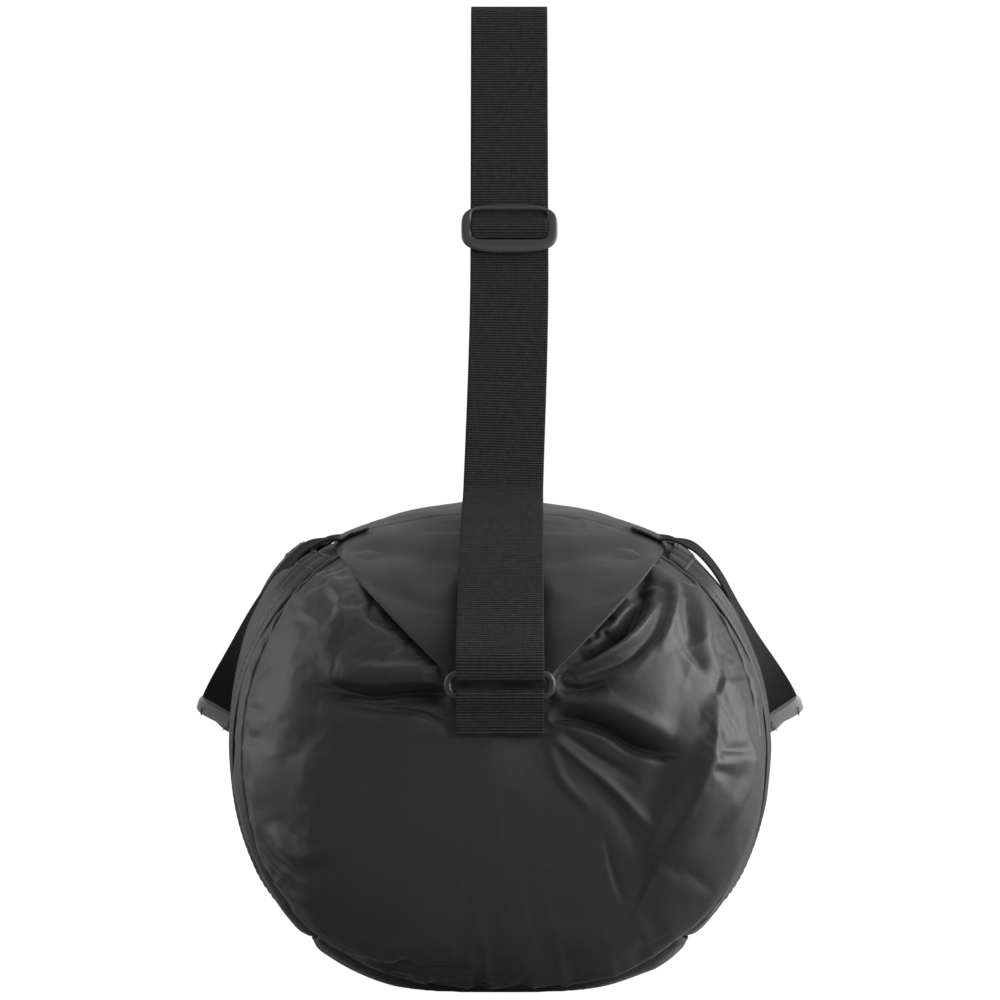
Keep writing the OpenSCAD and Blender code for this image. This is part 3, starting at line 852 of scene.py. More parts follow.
END_FOLDS = (
    # left of the anchor: deep valley, its lip, and a thin crease below
    Fold(((-24, 177), (-50, 179), (-72, 177), (-93, 180)), -14.0, 6.4, 0.55),
    Fold(((-28, 187), (-50, 190), (-74, 188), (-92, 192)), 4.2, 6.0),
    Fold(((-27, 159), (-46, 166), (-70, 168), (-86, 170)), -2.0, 2.4, 0.5),
    # tucks below the left edge of the wing
    Fold(((-84, 249), (-78, 236), (-69, 226), (-52, 212)), -4.0, 6.0),
    Fold(((-77, 230), (-75, 220), (-62, 214)), -3.6, 3.0, 0.5),
    Fold(((-96, 240), (-90, 222), (-96, 205)), 2.4, 7.0),
    # layers tucked below the right edge of the wing
    Fold(((88, 242), (79, 222), (62, 206), (34, 191)), -15.0, 6.6, -0.4),
    Fold(((90, 226), (76, 208), (56, 195.5), (33, 187)), 4.6, 2.6, 0.4),
    Fold(((92, 214), (78, 200), (58, 190), (36, 184)), -4.4, 3.4),
    Fold(((84, 236), (74, 226), (64, 216)), 2.6, 2.0),
    Fold(((32, 180), (47, 178.5), (60, 183)), -7.5, 4.2),
    # right of the anchor: deep valley that turns down
    Fold(((26, 163), (44, 162), (61, 156.5), (76, 147), (92, 142)), -13.5, 6.0, 0.5),
    Fold(((34, 174), (60, 170), (80, 160), (98, 152)), 4.4, 6.5),
    # creases that run out from the anchor's lower corner
    Fold(((28, 154), (44, 140), (64, 123), (86, 100)), 2.4, 3.4, 0.3),
    Fold(((34, 156), (55, 141), (76, 129)), -2.4, 3.2),
    Fold(((27, 152), (35, 129), (50, 113)), 1.2, 3.0),
    Fold(((50, 128), (68, 108), (80, 84)), -1.4, 5.0),
    # long ridge down the right side, with hollows beside it
    Fold(((124, 172), (116, 142), (103, 112), (89, 82)), 11.0, 20.0, 0.72),
    Fold(((134, 134), (124, 108), (110, 84)), -2.0, 7.0),
    Fold(((146, 150), (140, 128), (126, 102)), 3.4, 6.0),
    Fold(((104, 180), (98, 150), (88, 122), (82, 98)), -3.2, 8.0),
    Fold(((101, 240), (99, 222), (92, 204)), 5.4, 5.0, 0.3),
    Fold(((108, 236), (108, 214), (114, 196)), -3.0, 5.0),
    Fold(((118, 226), (118, 204), (126, 186)), 3.0, 5.0),
    Fold(((104, 206), (112, 196), (118, 188)), -2.4, 3.0),
    # the left side: soft lumps and puckers
    Fold(((-110, 214), (-118, 190), (-116, 160)), 2.4, 9.0),
    Fold(((-128, 196), (-136, 170), (-134, 140)), -2.6, 8.0),
    Fold(((-100, 150), (-112, 120), (-104, 92)), 1.8, 10.0),
    Fold(((-136, 92), (-128, 82), (-114, 72)), -3.4, 4.0, 0.4),
    Fold(((-128, 98), (-118, 86), (-106, 82)), 2.4, 4.0),
    Fold(((-134, 74), (-122, 62), (-108, 56)), 2.2, 4.5),
    # along the foot
    Fold(((-114, 38), (-92, 27), (-56, 26), (-20, 30)), -3.6, 4.4, -0.4),
    Fold(((-96, 38), (-70, 36), (-30, 40)), 1.8, 6.0),
    Fold(((-72, 18), (-58, 26), (-50, 32)), -2.4, 3.4),
    Fold(((60, 15), (72, 15), (80, 22)), -3.6, 4.0),
    Fold(((88, 24), (100, 30), (112, 44)), -3.0, 4.0),
    Fold(((28, 44), (60, 38), (92, 46)), 1.5, 8.0),
    Fold(((60, 92), (64, 74), (70, 60)), -1.0, 2.6, 0.5),
)


@dataclass(frozen=True)
class BagForm:
    """The stuffed bag's smooth outer form."""

    length: float
    width: float
    height: float
    floor_gap: float = 2.0 * MM
    middle: float = 160 * MM
    sag: float = 14 * MM
    end_seam: float = 0.92
    wing_tip: float = 0.27
    base_u: float = 3.0
    rim_u: float = 10.0
    top_u: float = 12.0
    half_section: tuple[Point, ...] = (
        (0, 0), (0.24, 0), (0.48, 0.015), (0.695, 0.073), (0.856, 0.17), (0.958, 0.3), (1, 0.446),
        (0.988, 0.585), (0.922, 0.714), (0.802, 0.833), (0.617, 0.92), (0.323, 0.979), (0, 1),
    )

    def section(self, u: Array) -> Array:
        """Point of the fullest section, as (x, z) from the line the ends bulge about.

        Args:
            u: place round the section, 0 at the bottom and 12 at the top, going to the right.

        Returns:
            The point for each place.
        """
        tall = self.height - self.floor_gap
        half = [(x * self.width / 2, self.floor_gap + z * tall) for x, z in self.half_section]
        ring = np.array(half + [(-x, z) for x, z in half[-2:0:-1]])
        cell = np.floor(u).astype(int)
        t = (u - cell)[..., None]
        point = spline(*(ring[(cell + k) % AROUND] for k in (-1, 0, 1, 2)), t)
        return point - np.array([0, self.middle])

    def squareness(self, u: Array) -> Array:
        """How square the bag is along its length at each place round the section."""
        arm = self.section(u)
        return 4 - 2 * arm[..., 1] / np.linalg.norm(arm, axis=-1)

    def reach(self, u: Array, share: Array) -> Array:
        """Distance along the bag at which the section has shrunk to a share of itself."""
        n = self.squareness(u)
        return self.length / 2 * (1 - np.clip(share, 0, 1) ** n) ** (1 / n)

    def share(self, u: Array, y: Array) -> Array:
        """Share of the full section left at distance y."""
        n = self.squareness(u)
        return (1 - np.clip(np.abs(y) / (self.length / 2), 0, 1) ** n) ** (1 / n)

    def settled(self, p: Array) -> Array:
        """Points moved down where the stuffing settles over the foot of the bag."""
        low = ease((78 * MM - p[..., 2]) / (70 * MM)) * ease((np.abs(p[..., 1]) - 95 * MM) / (95 * MM))
        across = bell(p[..., 0], 88 * MM)
        out = p.copy()
        out[..., 2] = np.maximum(p[..., 2] - self.sag * low * across, 0.6 * MM + 0.03 * np.abs(p[..., 2]))
        out[..., 1] *= 1 + 0.012 * low * across
        return out

    def at(self, u: Array, share: Array, y: Array) -> Array:
        """Point of the form."""
        arm = self.section(u) * share[..., None]
        return np.stack([arm[..., 0], y + 0 * u, self.middle + arm[..., 1]], axis=-1)

    def barrel(self, u: Array, y: Array) -> Array:
        """Point of the form at a place round it and a distance along it."""
        return self.at(u, self.share(u, y), y)

    def cap(self, u: Array, share: Array, end: End) -> Array:
        """Point of the form on one end."""
        return self.at(u, share, end.value * self.reach(u, share))


def slack(p: Array, seed: int) -> Array:
    """How loose cloth over stuffing moves in and out, in metres."""
    lumps = 1.7 * cloud(p, 62 * MM, seed) + 0.7 * cloud(p, 30 * MM, seed + 7)
    ridges = 2.0 * (crinkle(p, 74 * MM, seed + 3) - 0.35)
    return MM * (lumps + ridges + 0.7 * (crinkle(p, 33 * MM, seed + 5) - 0.3))


def puckers(along: Array, away: Array, pitch: float, size: float, seed: float) -> Array:
    """Small gathers that come in clusters and die out away from a seam, in metres.

    Args:
        along: distance along the seam.
        away: distance from the seam.
        pitch: usual spacing of the gathers.
        size: height of the tallest ones.
        seed: picks the pattern.

    Returns:
        How far each place moves out.
    """
    along, away = np.broadcast_arrays(along, away)
    bent = along + 0.25 * away * np.sin(along / (2.3 * pitch) + seed)
    where = np.stack([bent / pitch, away / (4 * pitch), np.full(along.shape, seed)], axis=-1)
    ridge = (1 - np.abs(cloud(where, 1.0, 91))) ** 3 - 0.45
    cluster = ease(0.35 + 0.9 * cloud(where * np.array([0.17, 0.0, 1.0]) + 7.0, 1.0, 17))
    return 2.0 * size * ridge * cluster * np.exp(-away / (1.5 * pitch))


@dataclass(frozen=True)
class ClothTrial:
    """A short cloth simulation that lets a sewn panel crumple between its seams."""

    spare: float = 0.030
    pressure: float = 2.0
    bending: float = 0.4
    stiffness: float = 12
    mass: float = 0.05
    quality: int = 6
    frames: int = 22
    cap: float = 6.0 * MM

    def settle(self, points: Array, held: Array, wrap: bool) -> Array:
        """Lets a sheet crumple.

        Args:
            points: coarse grid of the panel.
            held: which points are sewn down.
            wrap: whether the last column joins the first.

        Returns:
            How far each point has moved, no more than the cap.
        """
        rows, cols = points.shape[:2]
        corner = points.reshape(-1, 3)
        obj = make_object("cloth_trial", corner, facing_out(corner, grid_faces(rows, cols, wrap), BAG_MIDDLE))
        pins = obj.vertex_groups.new(name="sewn")
        pins.add(np.flatnonzero(held.ravel()).tolist(), 1.0, "REPLACE")
        modifier = obj.modifiers.new("crumple", "CLOTH")
        cloth = modifier.settings
        cloth.quality = self.quality
        cloth.mass = self.mass
        cloth.tension_stiffness = cloth.compression_stiffness = cloth.shear_stiffness = self.stiffness
        cloth.bending_stiffness = self.bending
        cloth.vertex_group_mass = "sewn"
        cloth.shrink_min = cloth.shrink_max = -self.spare
        cloth.use_pressure = True
        cloth.uniform_pressure_force = self.pressure
        cloth.effector_weights.gravity = 0.0
        modifier.collision_settings.use_collision = False
        modifier.point_cache.frame_start = 1
        modifier.point_cache.frame_end = self.frames
        scene = bpy.context.scene
        for step in range(1, self.frames + 1):
            scene.frame_set(step)
        done = obj.evaluated_get(bpy.context.evaluated_depsgraph_get()).to_mesh()
        flat = np.zeros(rows * cols * 3)
        done.vertices.foreach_get("co", flat)
        moved = flat.reshape(points.shape) - points
        scene.frame_set(1)
        mesh = obj.data
        bpy.data.objects.remove(obj)
        bpy.data.meshes.remove(mesh)
        size = np.linalg.norm(moved, axis=-1, keepdims=True)
        LOG.info("cloth trial moved up to %.1f mm", size.max() / MM)
        return moved * self.cap * np.tanh(size / self.cap) / np.maximum(size, 1e-9)


def crumpled(points: Array, held: Callable[[Array], Array], steps: tuple[int, int], wrap: bool,
             trial: ClothTrial, first: int = 0) -> Array:
    """Panel after a cloth trial on a coarser copy of it.

    Args:
        points: fine grid of the panel.
        held: tells which points of a grid are sewn down.
        steps: every how many rows and columns the copy takes.
        wrap: whether the last column joins the first.
        trial: the simulation.
        first: the first row that takes part.
    """
    rows, cols = points.shape[:2]
    at_row = np.unique(np.append(np.arange(first, rows, steps[0]), rows - 1))
    at_col = np.arange(0, cols, steps[1])
    if not wrap:
        at_col = np.unique(np.append(at_col, cols - 1))
    coarse = points[np.ix_(at_row, at_col)]
    moved = trial.settle(coarse, held(coarse), wrap)
    if wrap:
        moved, at_col = np.concatenate([moved, moved[:, :1]], axis=1), np.append(at_col, cols)
    out = points.copy()
    for k in range(3):
        tall = np.stack([np.interp(np.arange(rows), at_row, column) for column in moved[..., k].T], axis=1)
        out[..., k] += np.stack([np.interp(np.arange(cols), at_col, row) for row in tall])
    return out


@dataclass
class BagBody:
    """The cloth panels: two ends, two sides, the base and the lid with its wings."""

    form: BagForm
    shop: Workshop
    thickness: float = 1.1 * MM
    lid_thickness: float = 1.3 * MM
    thread_lift: float = 0.15 * MM
    seam_dip: float = 2.2 * MM
    anchor_half: float = 27 * MM
    anchor_foot: float = 150 * MM
    lid_seam_y: float = 92 * MM
    zip_gap: float = 11.6 * MM
    zip_half: float = 177 * MM
    tucked: float = 0.55
    round_steps: int = 400
    tuck_steps: int = 34
    trial_steps: tuple[int, int] = (2, 3)
    trial_first: int = 8
    lid_skin: dict[Side, tuple[Array, Array]] = field(default_factory=dict)

    def end_panel(self, end: End) -> None:
        """Builds one end panel, tucked under the lid's wing."""
        form = self.form
        first, last = form.rim_u + self.tucked, AROUND - form.rim_u - self.tucked
        seen = np.linspace(last - AROUND, first, self.round_steps)
        hidden = np.linspace(first, last, self.tuck_steps)
        u = np.concatenate([seen, hidden[1:-1]])
        share = np.concatenate([np.linspace(0, 0.30, 36), np.linspace(0.30, form.end_seam, 96)[1:]])
        us, ks = np.meshgrid(u, share)
        base = form.cap(us, ks, end)
        normal = outward(base, form.middle, wrap=True)
        normal[0] = (0, end.value, 0)
        x = base[..., 0] / MM * (1 if end is End.FRONT else -1)
        z = base[..., 2] / MM
        folds = sum(f.height(x, z) for f in END_FOLDS) * MM
        near_seam = (form.end_seam - ks) * np.linalg.norm(form.section(us), axis=-1)
        calm = ease(near_seam / (16 * MM))
        taut = ease((112 * MM - np.abs(base[..., 0])) / (46 * MM))
        taut *= ease((168 * MM - base[..., 2]) / (24 * MM))
        taut *= ease((base[..., 2] - 20 * MM) / (20 * MM))
        loose = slack(base, 11 if end is End.FRONT else 47) * calm
        out = folds * (0.15 + 0.85 * calm) + loose * 0.8 * (1 - 0.8 * taut)
        out += puckers(us * 40 * MM, near_seam, 13 * MM, 1.1 * MM, 1.3) * ease(near_seam / (3 * MM))
        out -= self.seam_dip * bell(near_seam, 3.2 * MM)
        out += self.wing_recess(us, ks)
        flat = ease((self.anchor_half + 10 * MM - np.abs(base[..., 0])) / (10 * MM))
        flat *= ease((base[..., 2] - self.anchor_foot) / (6 * MM))
        out = out * (1 - flat) + flat * (-1.2 * MM)
        low = ease((14 * MM - base[..., 2]) / (14 * MM))
        out = np.where(out < 0, out, out * (1 - low))
        points = form.settled(base + normal * out[..., None])

        def held(p: Array) -> Array:
            """Sewn edge, and the part that the wing and the anchor hold."""
            rows = np.arange(len(p))[:, None] + 0 * p[..., 0]
            across = np.arange(p.shape[1])[None] * self.trial_steps[1] + 0 * p[..., 0]
            under_strap = (np.abs(p[..., 0]) < self.anchor_half) & (p[..., 2] > self.anchor_foot - 4 * MM)
            under_wing = (across >= self.round_steps - 4) | (across < 4)
            return (rows < 5) | (rows > len(p) - 2) | under_wing | under_strap

        trial = crumpled(points, held, self.trial_steps, True, ClothTrial(), self.trial_first)
        points += (trial - points) * (1 - 0.92 * taut[..., None])
        inner = np.searchsorted(share, 0.2999)
        keep = np.ones((len(share) - 1, len(u)), bool)
        keep[inner:, self.round_steps - 1 :] = False
        name = f"{end.name.lower()}_end_cloth"
        obj = cloth_piece(name, points, self.thickness, wrap=True, keep=keep)
        self.shop.fix(obj, NYLON, "bag", "bag_cloth", f"{end.name.lower()}_end_panel")

    def wing_recess(self, u: Array, share: Array) -> Array:
        """How far an end panel is drawn in below the wing's two edges."""
        form = self.form
        round_u = np.mod(u + AROUND, AROUND)
        past = np.where(round_u > form.top_u, AROUND - round_u, round_u) - form.rim_u
        arm = np.linalg.norm(form.section(u), axis=-1) * share
        gap = past * 0.33 * arm
        along = np.clip((share - 0.24) / (form.end_seam - 0.24), 0, 1)
        hollow = np.sin(math.pi * along) ** 0.7
        at_edge = 7.0 * MM * np.exp(-np.abs(np.minimum(gap, 0)) / (9 * MM))
        return -hollow * (at_edge + 2.5 * MM * ease(gap / (8 * MM)))

    def barrel_panel(self, name: str, node: str, u_from: float, u_to: float, seed: int, deep: float) -> None:
        """Builds a side or the base, between the end seams.

        Args:
            name: the piece's name.
            node: the frame's node it stands for.
            u_from: first edge, as a place round the section.
            u_to: second edge.
            seed: picks the creases.
            deep: how far the panel lies inside the form.
        """
        form = self.form
        u = np.linspace(u_from, u_to, int(abs(u_to - u_from) * 18) + 2)
        s = np.linspace(-1, 1, 170)
        us, ss = np.meshgrid(u, s)
        y = ss * form.reach(us, np.full(us.shape, form.end_seam))
        base = form.barrel(us, y)
        normal = outward(base, form.middle, weights=(1, 0, 1))
        to_end = (1 - np.abs(ss)) * 200 * MM
        to_edge = np.minimum(us - u_from, u_to - us) * 36 * MM
        near = np.minimum(to_end, to_edge)
        calm = ease(near / (14 * MM))
        out = slack(base, seed) * calm - deep
        out += puckers(us * 40 * MM, to_end, 12 * MM, 1.2 * MM, 0.4) * ease(to_end / (3 * MM))
        out -= self.seam_dip * bell(near, 3.0 * MM) - deep * bell(to_end, 12 * MM)
        low = ease((22 * MM - base[..., 2]) / (14 * MM))
        out = out * (1 - low) + np.minimum(out, 0.2 * MM) * low * 0.3
        points = form.settled(base + normal * out[..., None])
        points[..., 2] = np.maximum(points[..., 2], 0.9 * MM)
        obj = cloth_piece(name, points, self.thickness)
        self.shop.fix(obj, NYLON, "bag", "bag_cloth", node)

    def lid_half(self, side: Side) -> None:
        """Builds half of the lid, with half of each wing, up to the zip."""
        form = self.form
        rows, cols = 58, 230
        t = np.linspace(0, 1, rows)[:, None]
        s = np.sin(np.linspace(-math.pi / 2, math.pi / 2, cols))[None]
        u_edge = form.rim_u - 0.10
        y_rim = s * form.reach(np.full((1, cols), u_edge), np.full((1, cols), form.wing_tip))
        room = self.zip_gap * ease((self.zip_half - np.abs(y_rim)) / (14 * MM)) + 0.2 * MM
        u = np.full((rows, cols), u_edge)
        y = np.broadcast_to(y_rim, (rows, cols)).copy()
        for _ in range(4):
            width = 0.323 * form.width / 2 * np.maximum(0.25, form.share(np.full(y.shape, form.top_u), y))
            u = u_edge + (form.top_u - room / width - u_edge) * t
            y = s * form.reach(u, np.full(u.shape, form.wing_tip))
        base = form.barrel(u, y)
        normal = outward(base, form.middle * 0.6)
        from_rim = t * 100 * MM + 0 * y
        wing = ease((np.abs(y) - 118 * MM) / (40 * MM))
        tip = ease((np.abs(y) - 205 * MM) / (35 * MM))
        slackness = 0.4 + 0.6 * ease(from_rim / (12 * MM))
        out = slack(base * np.array([1, 0.8, 1]), 23) * slackness * 0.75 * (1 - 0.7 * tip)
        rolled = 1.6 * MM * bell(from_rim, 6 * MM) - 1.8 * MM * bell(from_rim - 20 * MM, 12 * MM)
        out += wing * (1 - tip) * (rolled + self.wing_folds(base))
        out -= (1 - wing) * self.seam_dip * 0.7 * bell(from_rim, 3 * MM)
        seam = np.abs(y) - self.lid_seam_y
        out -= 1.3 * MM * bell(seam, 2.2 * MM)
        out += puckers(base[..., 0], np.abs(seam), 11 * MM, 0.9 * MM, 0.8 + side.value)
        from_zip = (1 - t) * 80 * MM + 0 * y
        out += puckers(y, from_zip, 17 * MM, 0.6 * MM, 2.0) - 1.0 * MM * bell(from_zip - 6 * MM, 2.0 * MM)
        under_strap = ease((34 * MM - np.abs(base[..., 0])) / (14 * MM))
        under_strap *= ease((np.abs(y) - 180 * MM) / (30 * MM))
        out = out * (1 - under_strap) - 1.5 * MM * under_strap
        points = base + normal * out[..., None]
        points[..., 0] *= side.value
        name = f"{side.name.lower()}_lid_cloth"
        obj = cloth_piece(name, points, self.lid_thickness)
        self.shop.fix(obj, LID_NYLON, "bag", "bag_cloth", f"{side.name.lower()}_lid_panel")
        lift = normal * np.array([side.value, 1, 1])
        self.lid_skin[side] = (points, lift)
        self.lid_stitching(name, points, lift, y[0])

    def wing_folds(self, base: Array) -> Array:
        """Shallow folds on a wing that run from its corner to the strap, in metres."""
        x, z = np.abs(base[..., 0]), base[..., 2]
        run = z - (0.262 - 0.16 * (0.095 - x))
        out = -2.2 * MM * bell(run, 6 * MM) + 1.5 * MM * bell(run - 12 * MM, 7 * MM)
        run = z - (0.232 - 0.34 * (0.06 - x))
        return out - 1.5 * MM * bell(run, 5 * MM) * ease((x - 0.02) / 0.02)

    def on_lid(self, side: Side, x: float, y: float) -> tuple[Array, Array]:
        """Nearest point of the lid to a place seen from above, and its outward direction."""
        points, lift = self.lid_skin[side]
        gap = (points[..., 0] - x) ** 2 + (points[..., 1] - y) ** 2
        at = np.unravel_index(np.argmin(gap), gap.shape)
        return points[at], lift[at]

    def lid_stitching(self, name: str, points: Array, lift: Array, y: Array) -> None:
        """Sews the lid's rim and zip edge."""
        outside = points + self.thread_lift * lift
        rows = []
        for part, row, half in (("rim", 3, 112 * MM), ("zip", -5, self.zip_half)):
            near = np.abs(y) < half
            rows.append(stitches(f"{name}_{part}_thread", outside[row][near], lift[row][near]))
        self.shop.fix(joined(name + "_thread", rows), THREAD, "bag", "hem_tape")

    def build(self) -> None:
        """Builds every panel."""
        form = self.form
        for end in End:
            self.end_panel(end)
        self.barrel_panel("base_cloth", "base_panel", -form.base_u, form.base_u, 5, 0.0)
        for side in Side:
            low, high = sorted((side.value * form.base_u, side.value * form.rim_u))
            name = f"{side.name.lower()}_side"
            self.barrel_panel(name + "_cloth", name + "_panel", low, high, 31 + side.value, 2.1 * MM)
            self.lid_half(side)
        self.shop.redress("base_wear_patch", PATCH)
        for end in End:
            self.shop.redress(f"{end.name.lower()}_seam_binding", HEM)
            self.shop.redress(f"{end.name.lower()}_rope_loop", ROPE_TIE)


@dataclass
class SidePocket:
    """A patch pocket on one side, open at its top."""

    form: BagForm
    shop: Workshop
    side: Side
    mouth: float
    half_length: float = 145 * MM
    u_low: float = 3.6
    u_top: float = 9.78
    thickness: float = 1.0 * MM

    def sheet(self, u: Array, s: Array, lift: float, stretch: float = 1.0) -> tuple[Array, Array]:
        """Grid of the pocket's cloth.

        Args:
            u: places round the section.
            s: places along the pocket, from -1 to 1.
            lift: how far the grid lies outside the cloth.
            stretch: how much longer than the pocket the grid is.

        Returns:
            The points and the outward directions.
        """
        form = self.form
        us, ss = np.meshgrid(u, s)
        end = form.reach(us, np.full(us.shape, form.end_seam)) - 7 * MM
        y = ss * np.minimum(self.half_length, end) * stretch
        base = form.barrel(us, y)
        up = ease((us - 6.0) / (self.u_top - 6.0)) ** 1.3
        flare = self.mouth * up * (1 - ss**4)
        normal = outward(base, form.middle, weights=(1, 0, 1))
        edge = np.minimum((1 - np.abs(ss)) * self.half_length, (us - self.u_low) * 36 * MM)
        out = slack(base * np.array([1, 1, 0.7]), 61 + self.side.value) * 0.8 * ease(edge / (12 * MM))
        out += puckers(y, (us - self.u_low) * 36 * MM, 15 * MM, 1.0 * MM, 0.3)
        pleat = ease((us - 7.4) / 1.6) * bell(np.abs(ss) - 0.88, 0.07)
        out += 1.6 * MM * pleat * np.sin(ss * 95)
        out += -1.6 * MM * bell(edge, 3 * MM) + lift
        points = form.settled(base + normal * out[..., None])
        points[..., 0] += flare
        points[..., 2] -= 0.12 * flare
        points[..., 0] *= self.side.value
        return points, normal * np.array([self.side.value, 1, 1])

    def build(self) -> None:
        """Builds the pocket, its hem and its stitching."""
        name = self.side.name.lower()
        s = np.linspace(-1, 1, 150)
        points, _ = self.sheet(np.linspace(self.u_low, self.u_top, 96), s, 0.1 * MM)
        obj = cloth_piece(f"{name}_pocket_cloth", points, self.thickness)
        self.shop.fix(obj, NYLON, "bag", "bag_cloth", f"{name}_pocket_panel")
        hem, lift = self.sheet(np.linspace(self.u_top - 0.34, self.u_top + 0.02, 9), s, 0.7 * MM)
        band = cloth_piece(f"{name}_pocket_hem", hem, 1.9 * MM)
        self.shop.fix(band, HEM, "bag", "hem_tape", f"{name}_pocket_binding")
        rows = [stitches(f"{name}_hem_thread_{k}", hem[:, k] + 0.2 * MM * lift[:, k], lift[:, k])
                for k in (1, 7)]
        sides = [stitches(f"{name}_edge_thread_{k}", points[k], lift[k, :1] + 0 * points[k])
                 for k in (3, 146)]
        self.shop.fix(joined(f"{name}_pocket_thread", rows + sides), THREAD, "bag", "hem_tape")


# ------------------------------------------------------------------ shoulder strap


@dataclass
class ShoulderStrap:
    """The strap, its anchors, its two rings and its adjuster."""

    shop: Workshop
    width: float = 50 * MM
    thickness: float = 1.5 * MM
    layer: float = 2.3 * MM
    ring_low: Point = (-255.2 * MM, 176.4 * MM)
    ring_high: Point = (-254.4 * MM, 188.2 * MM)
    bar_radius: float = 2.2 * MM
    swing_room: float = 2.0 * MM
    foot: Point = (-80 * MM, 302 * MM)
    head: Point = (-10 * MM, 601 * MM)
    top: float = 611 * MM
    adjuster_z: float = 459 * MM
    split_z: float = 360 * MM
    sway: float = 6.0 * MM
    outer_run: tuple[Point, ...] = (
        (-258.2, 198), (-250, 207), (-237, 216.5), (-215, 236), (-191, 253), (-165.5, 266.4),
        (-135, 278.2), (-112, 285.2), (-98, 290.2), (-88, 296.2),
    )

    def sideways(self, z: Array) -> Array:
        """How far the hanging strap drifts to the right with height."""
        return self.sway * ease((z - 0.20) / 0.24)

    def on_front(self, z: float, out: float = 0.0) -> Array:
        """Point of the loop's front run at a height, moved out from it."""
        t = (z - self.foot[1]) / (self.head[1] - self.foot[1])
        y = self.foot[0] + t * (self.head[0] - self.foot[0])
        ahead = self.up_strap()
        return np.array([y - ahead[1] * out, z + ahead[0] * out])

    def up_strap(self) -> Array:
        """Direction up the loop's front run, as (y, z)."""
        return unit(np.array(self.head) - np.array(self.foot))

    def band(self, name: str, path: Array, step: float = 2.0 * MM, wave: float = 0.25 * MM) -> bpy.types.Object:
        """Webbing along a path given as (y, z)."""
        flat = even_steps(path, step)
        x = self.sideways(flat[:, 1])
        line = np.column_stack([x, flat])
        line[:, 1] += wave * cloud(line, 45 * MM, 3)
        side = same([1.0, 0, 0], len(line))
        return sweep(name, line, webbing_outline(self.width, self.thickness), side)

    def layers(self) -> tuple[Array, Array]:
        """The outer and inner runs of webbing from a ring up to the shoulder of the bag, as (y, z)."""
        outer = curve_through(np.array(self.outer_run) * MM, 6)
        ahead = tangents(outer)
        inner = outer + self.layer * np.column_stack([ahead[:, 1], -ahead[:, 0]])
        return outer, inner[6:]

    def long_strap(self) -> None:
        """Builds the strap from the doubled front run, over the top, to its sewn rear end."""
        outer, inner = self.layers()
        radius, (y, z) = self.bar_radius + self.thickness / 2 + 0.55 * MM, self.ring_high
        turn = arc((y - self.swing_room, z), radius, 195, 270, 7)
        turn += arc((y + self.swing_room, z), radius, 270, 350, 7)
        turn = np.array([(-259.7 * MM, 191 * MM), *turn, (-249.5 * MM, 193 * MM)])
        bend = -self.head[0]
        lean = math.degrees(math.atan2(self.head[0] - self.foot[0], self.head[1] - self.foot[1]))
        crown = np.array(arc((0, self.top - bend - self.thickness / 2), bend, 180 - lean / 2, lean / 2, 24))
        mirror = np.array([-1, 1])
        start = [self.on_front(self.split_z, self.layer), self.on_front(0.315, self.layer)]
        main = [self.on_front(0.315), self.on_front(0.45)]
        rear_end = (outer * mirror)[: -4]
        path = np.vstack([start, outer[::-1], turn, inner, main, crown, np.array(main[::-1]) * mirror,
                          inner[::-1] * mirror, turn[::-1] * mirror, rear_end])
        strap = self.band("shoulder_strap", path)
        self.shop.dress(strap, STRAP)
        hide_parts("front_strap_leg", "rear_strap_leg", "strap_loop")
        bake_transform(strap)
        LOG.info("shoulder_strap bends between bag and upper_strap")
        y, z = outer[-5]
        spot = np.array([0.0, -y, z + 1.0 * MM])
        self.box_stitch("rear_strap_thread", spot, np.array([0, -0.93, 0.36]), 0.030, -0.045, "bag")

    def box_stitch(self, name: str, middle: Array, down: Array, half: float, length: float, body: str) -> None:
        """Sews a rectangle with a cross in it, on a strap.

        Args:
            name: the piece's name.
            middle: middle of the box's first edge.
            down: direction along the strap.
            half: width of the box.
            length: length of the box along the strap; its sign picks the way.
            body: the body it moves with.
        """
        down = unit(down)
        side = np.array([1.0, 0, 0])
        up = unit(np.cross(side, down)) * np.sign(np.cross(side, down)[2] or 1)
        corner = [middle + sx * side * half / 2 + sy * down * length
                  for sx, sy in ((-1, 0), (1, 0), (1, 1), (-1, 1))]
        order = [(0, 1), (1, 2), (2, 3), (3, 0), (0, 2), (1, 3)]
        rows = []
        for k, (a, b) in enumerate(order):
            line = np.linspace(corner[a], corner[b], 12)
            rows.append(stitches(f"{name}_{k}", line + up * 0.4 * MM, same(up, 12)))
        self.shop.fix(joined(name, rows), THREAD, body, "strap_webbing")

    def return_layer(self) -> None:
        """Builds the stretch of webbing that shortens as the adjuster slides down."""
        top = self.adjuster_z - 3 * MM
        low, high = (self.on_front(z, self.layer) for z in (self.split_z, top))
        piece = self.band("strap_return_webbing", np.array([low, high]), step=1.5 * MM)
        self.shop.dress(piece, STRAP)
        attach(piece, "upper_strap")
        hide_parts("strap_return")
        ahead = self.up_strap()
        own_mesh(piece)

    def adjuster(self) -> None:
        """Builds the three-bar adjuster with the webbing that bulges over its middle bar."""
        ahead3 = np.array([0, *self.up_strap()])
        out3 = np.array([0, -ahead3[2], ahead3[1]])
        centre = np.array([self.sideways(np.array(self.adjuster_z)).item(), *self.on_front(self.adjuster_z)])

        def place(x: float, up: float, out: float) -> Array:
            """Point given across, up and out of the strap, in millimetres."""
            return centre + MM * (np.array([x, 0, 0]) + up * ahead3 + out * out3)

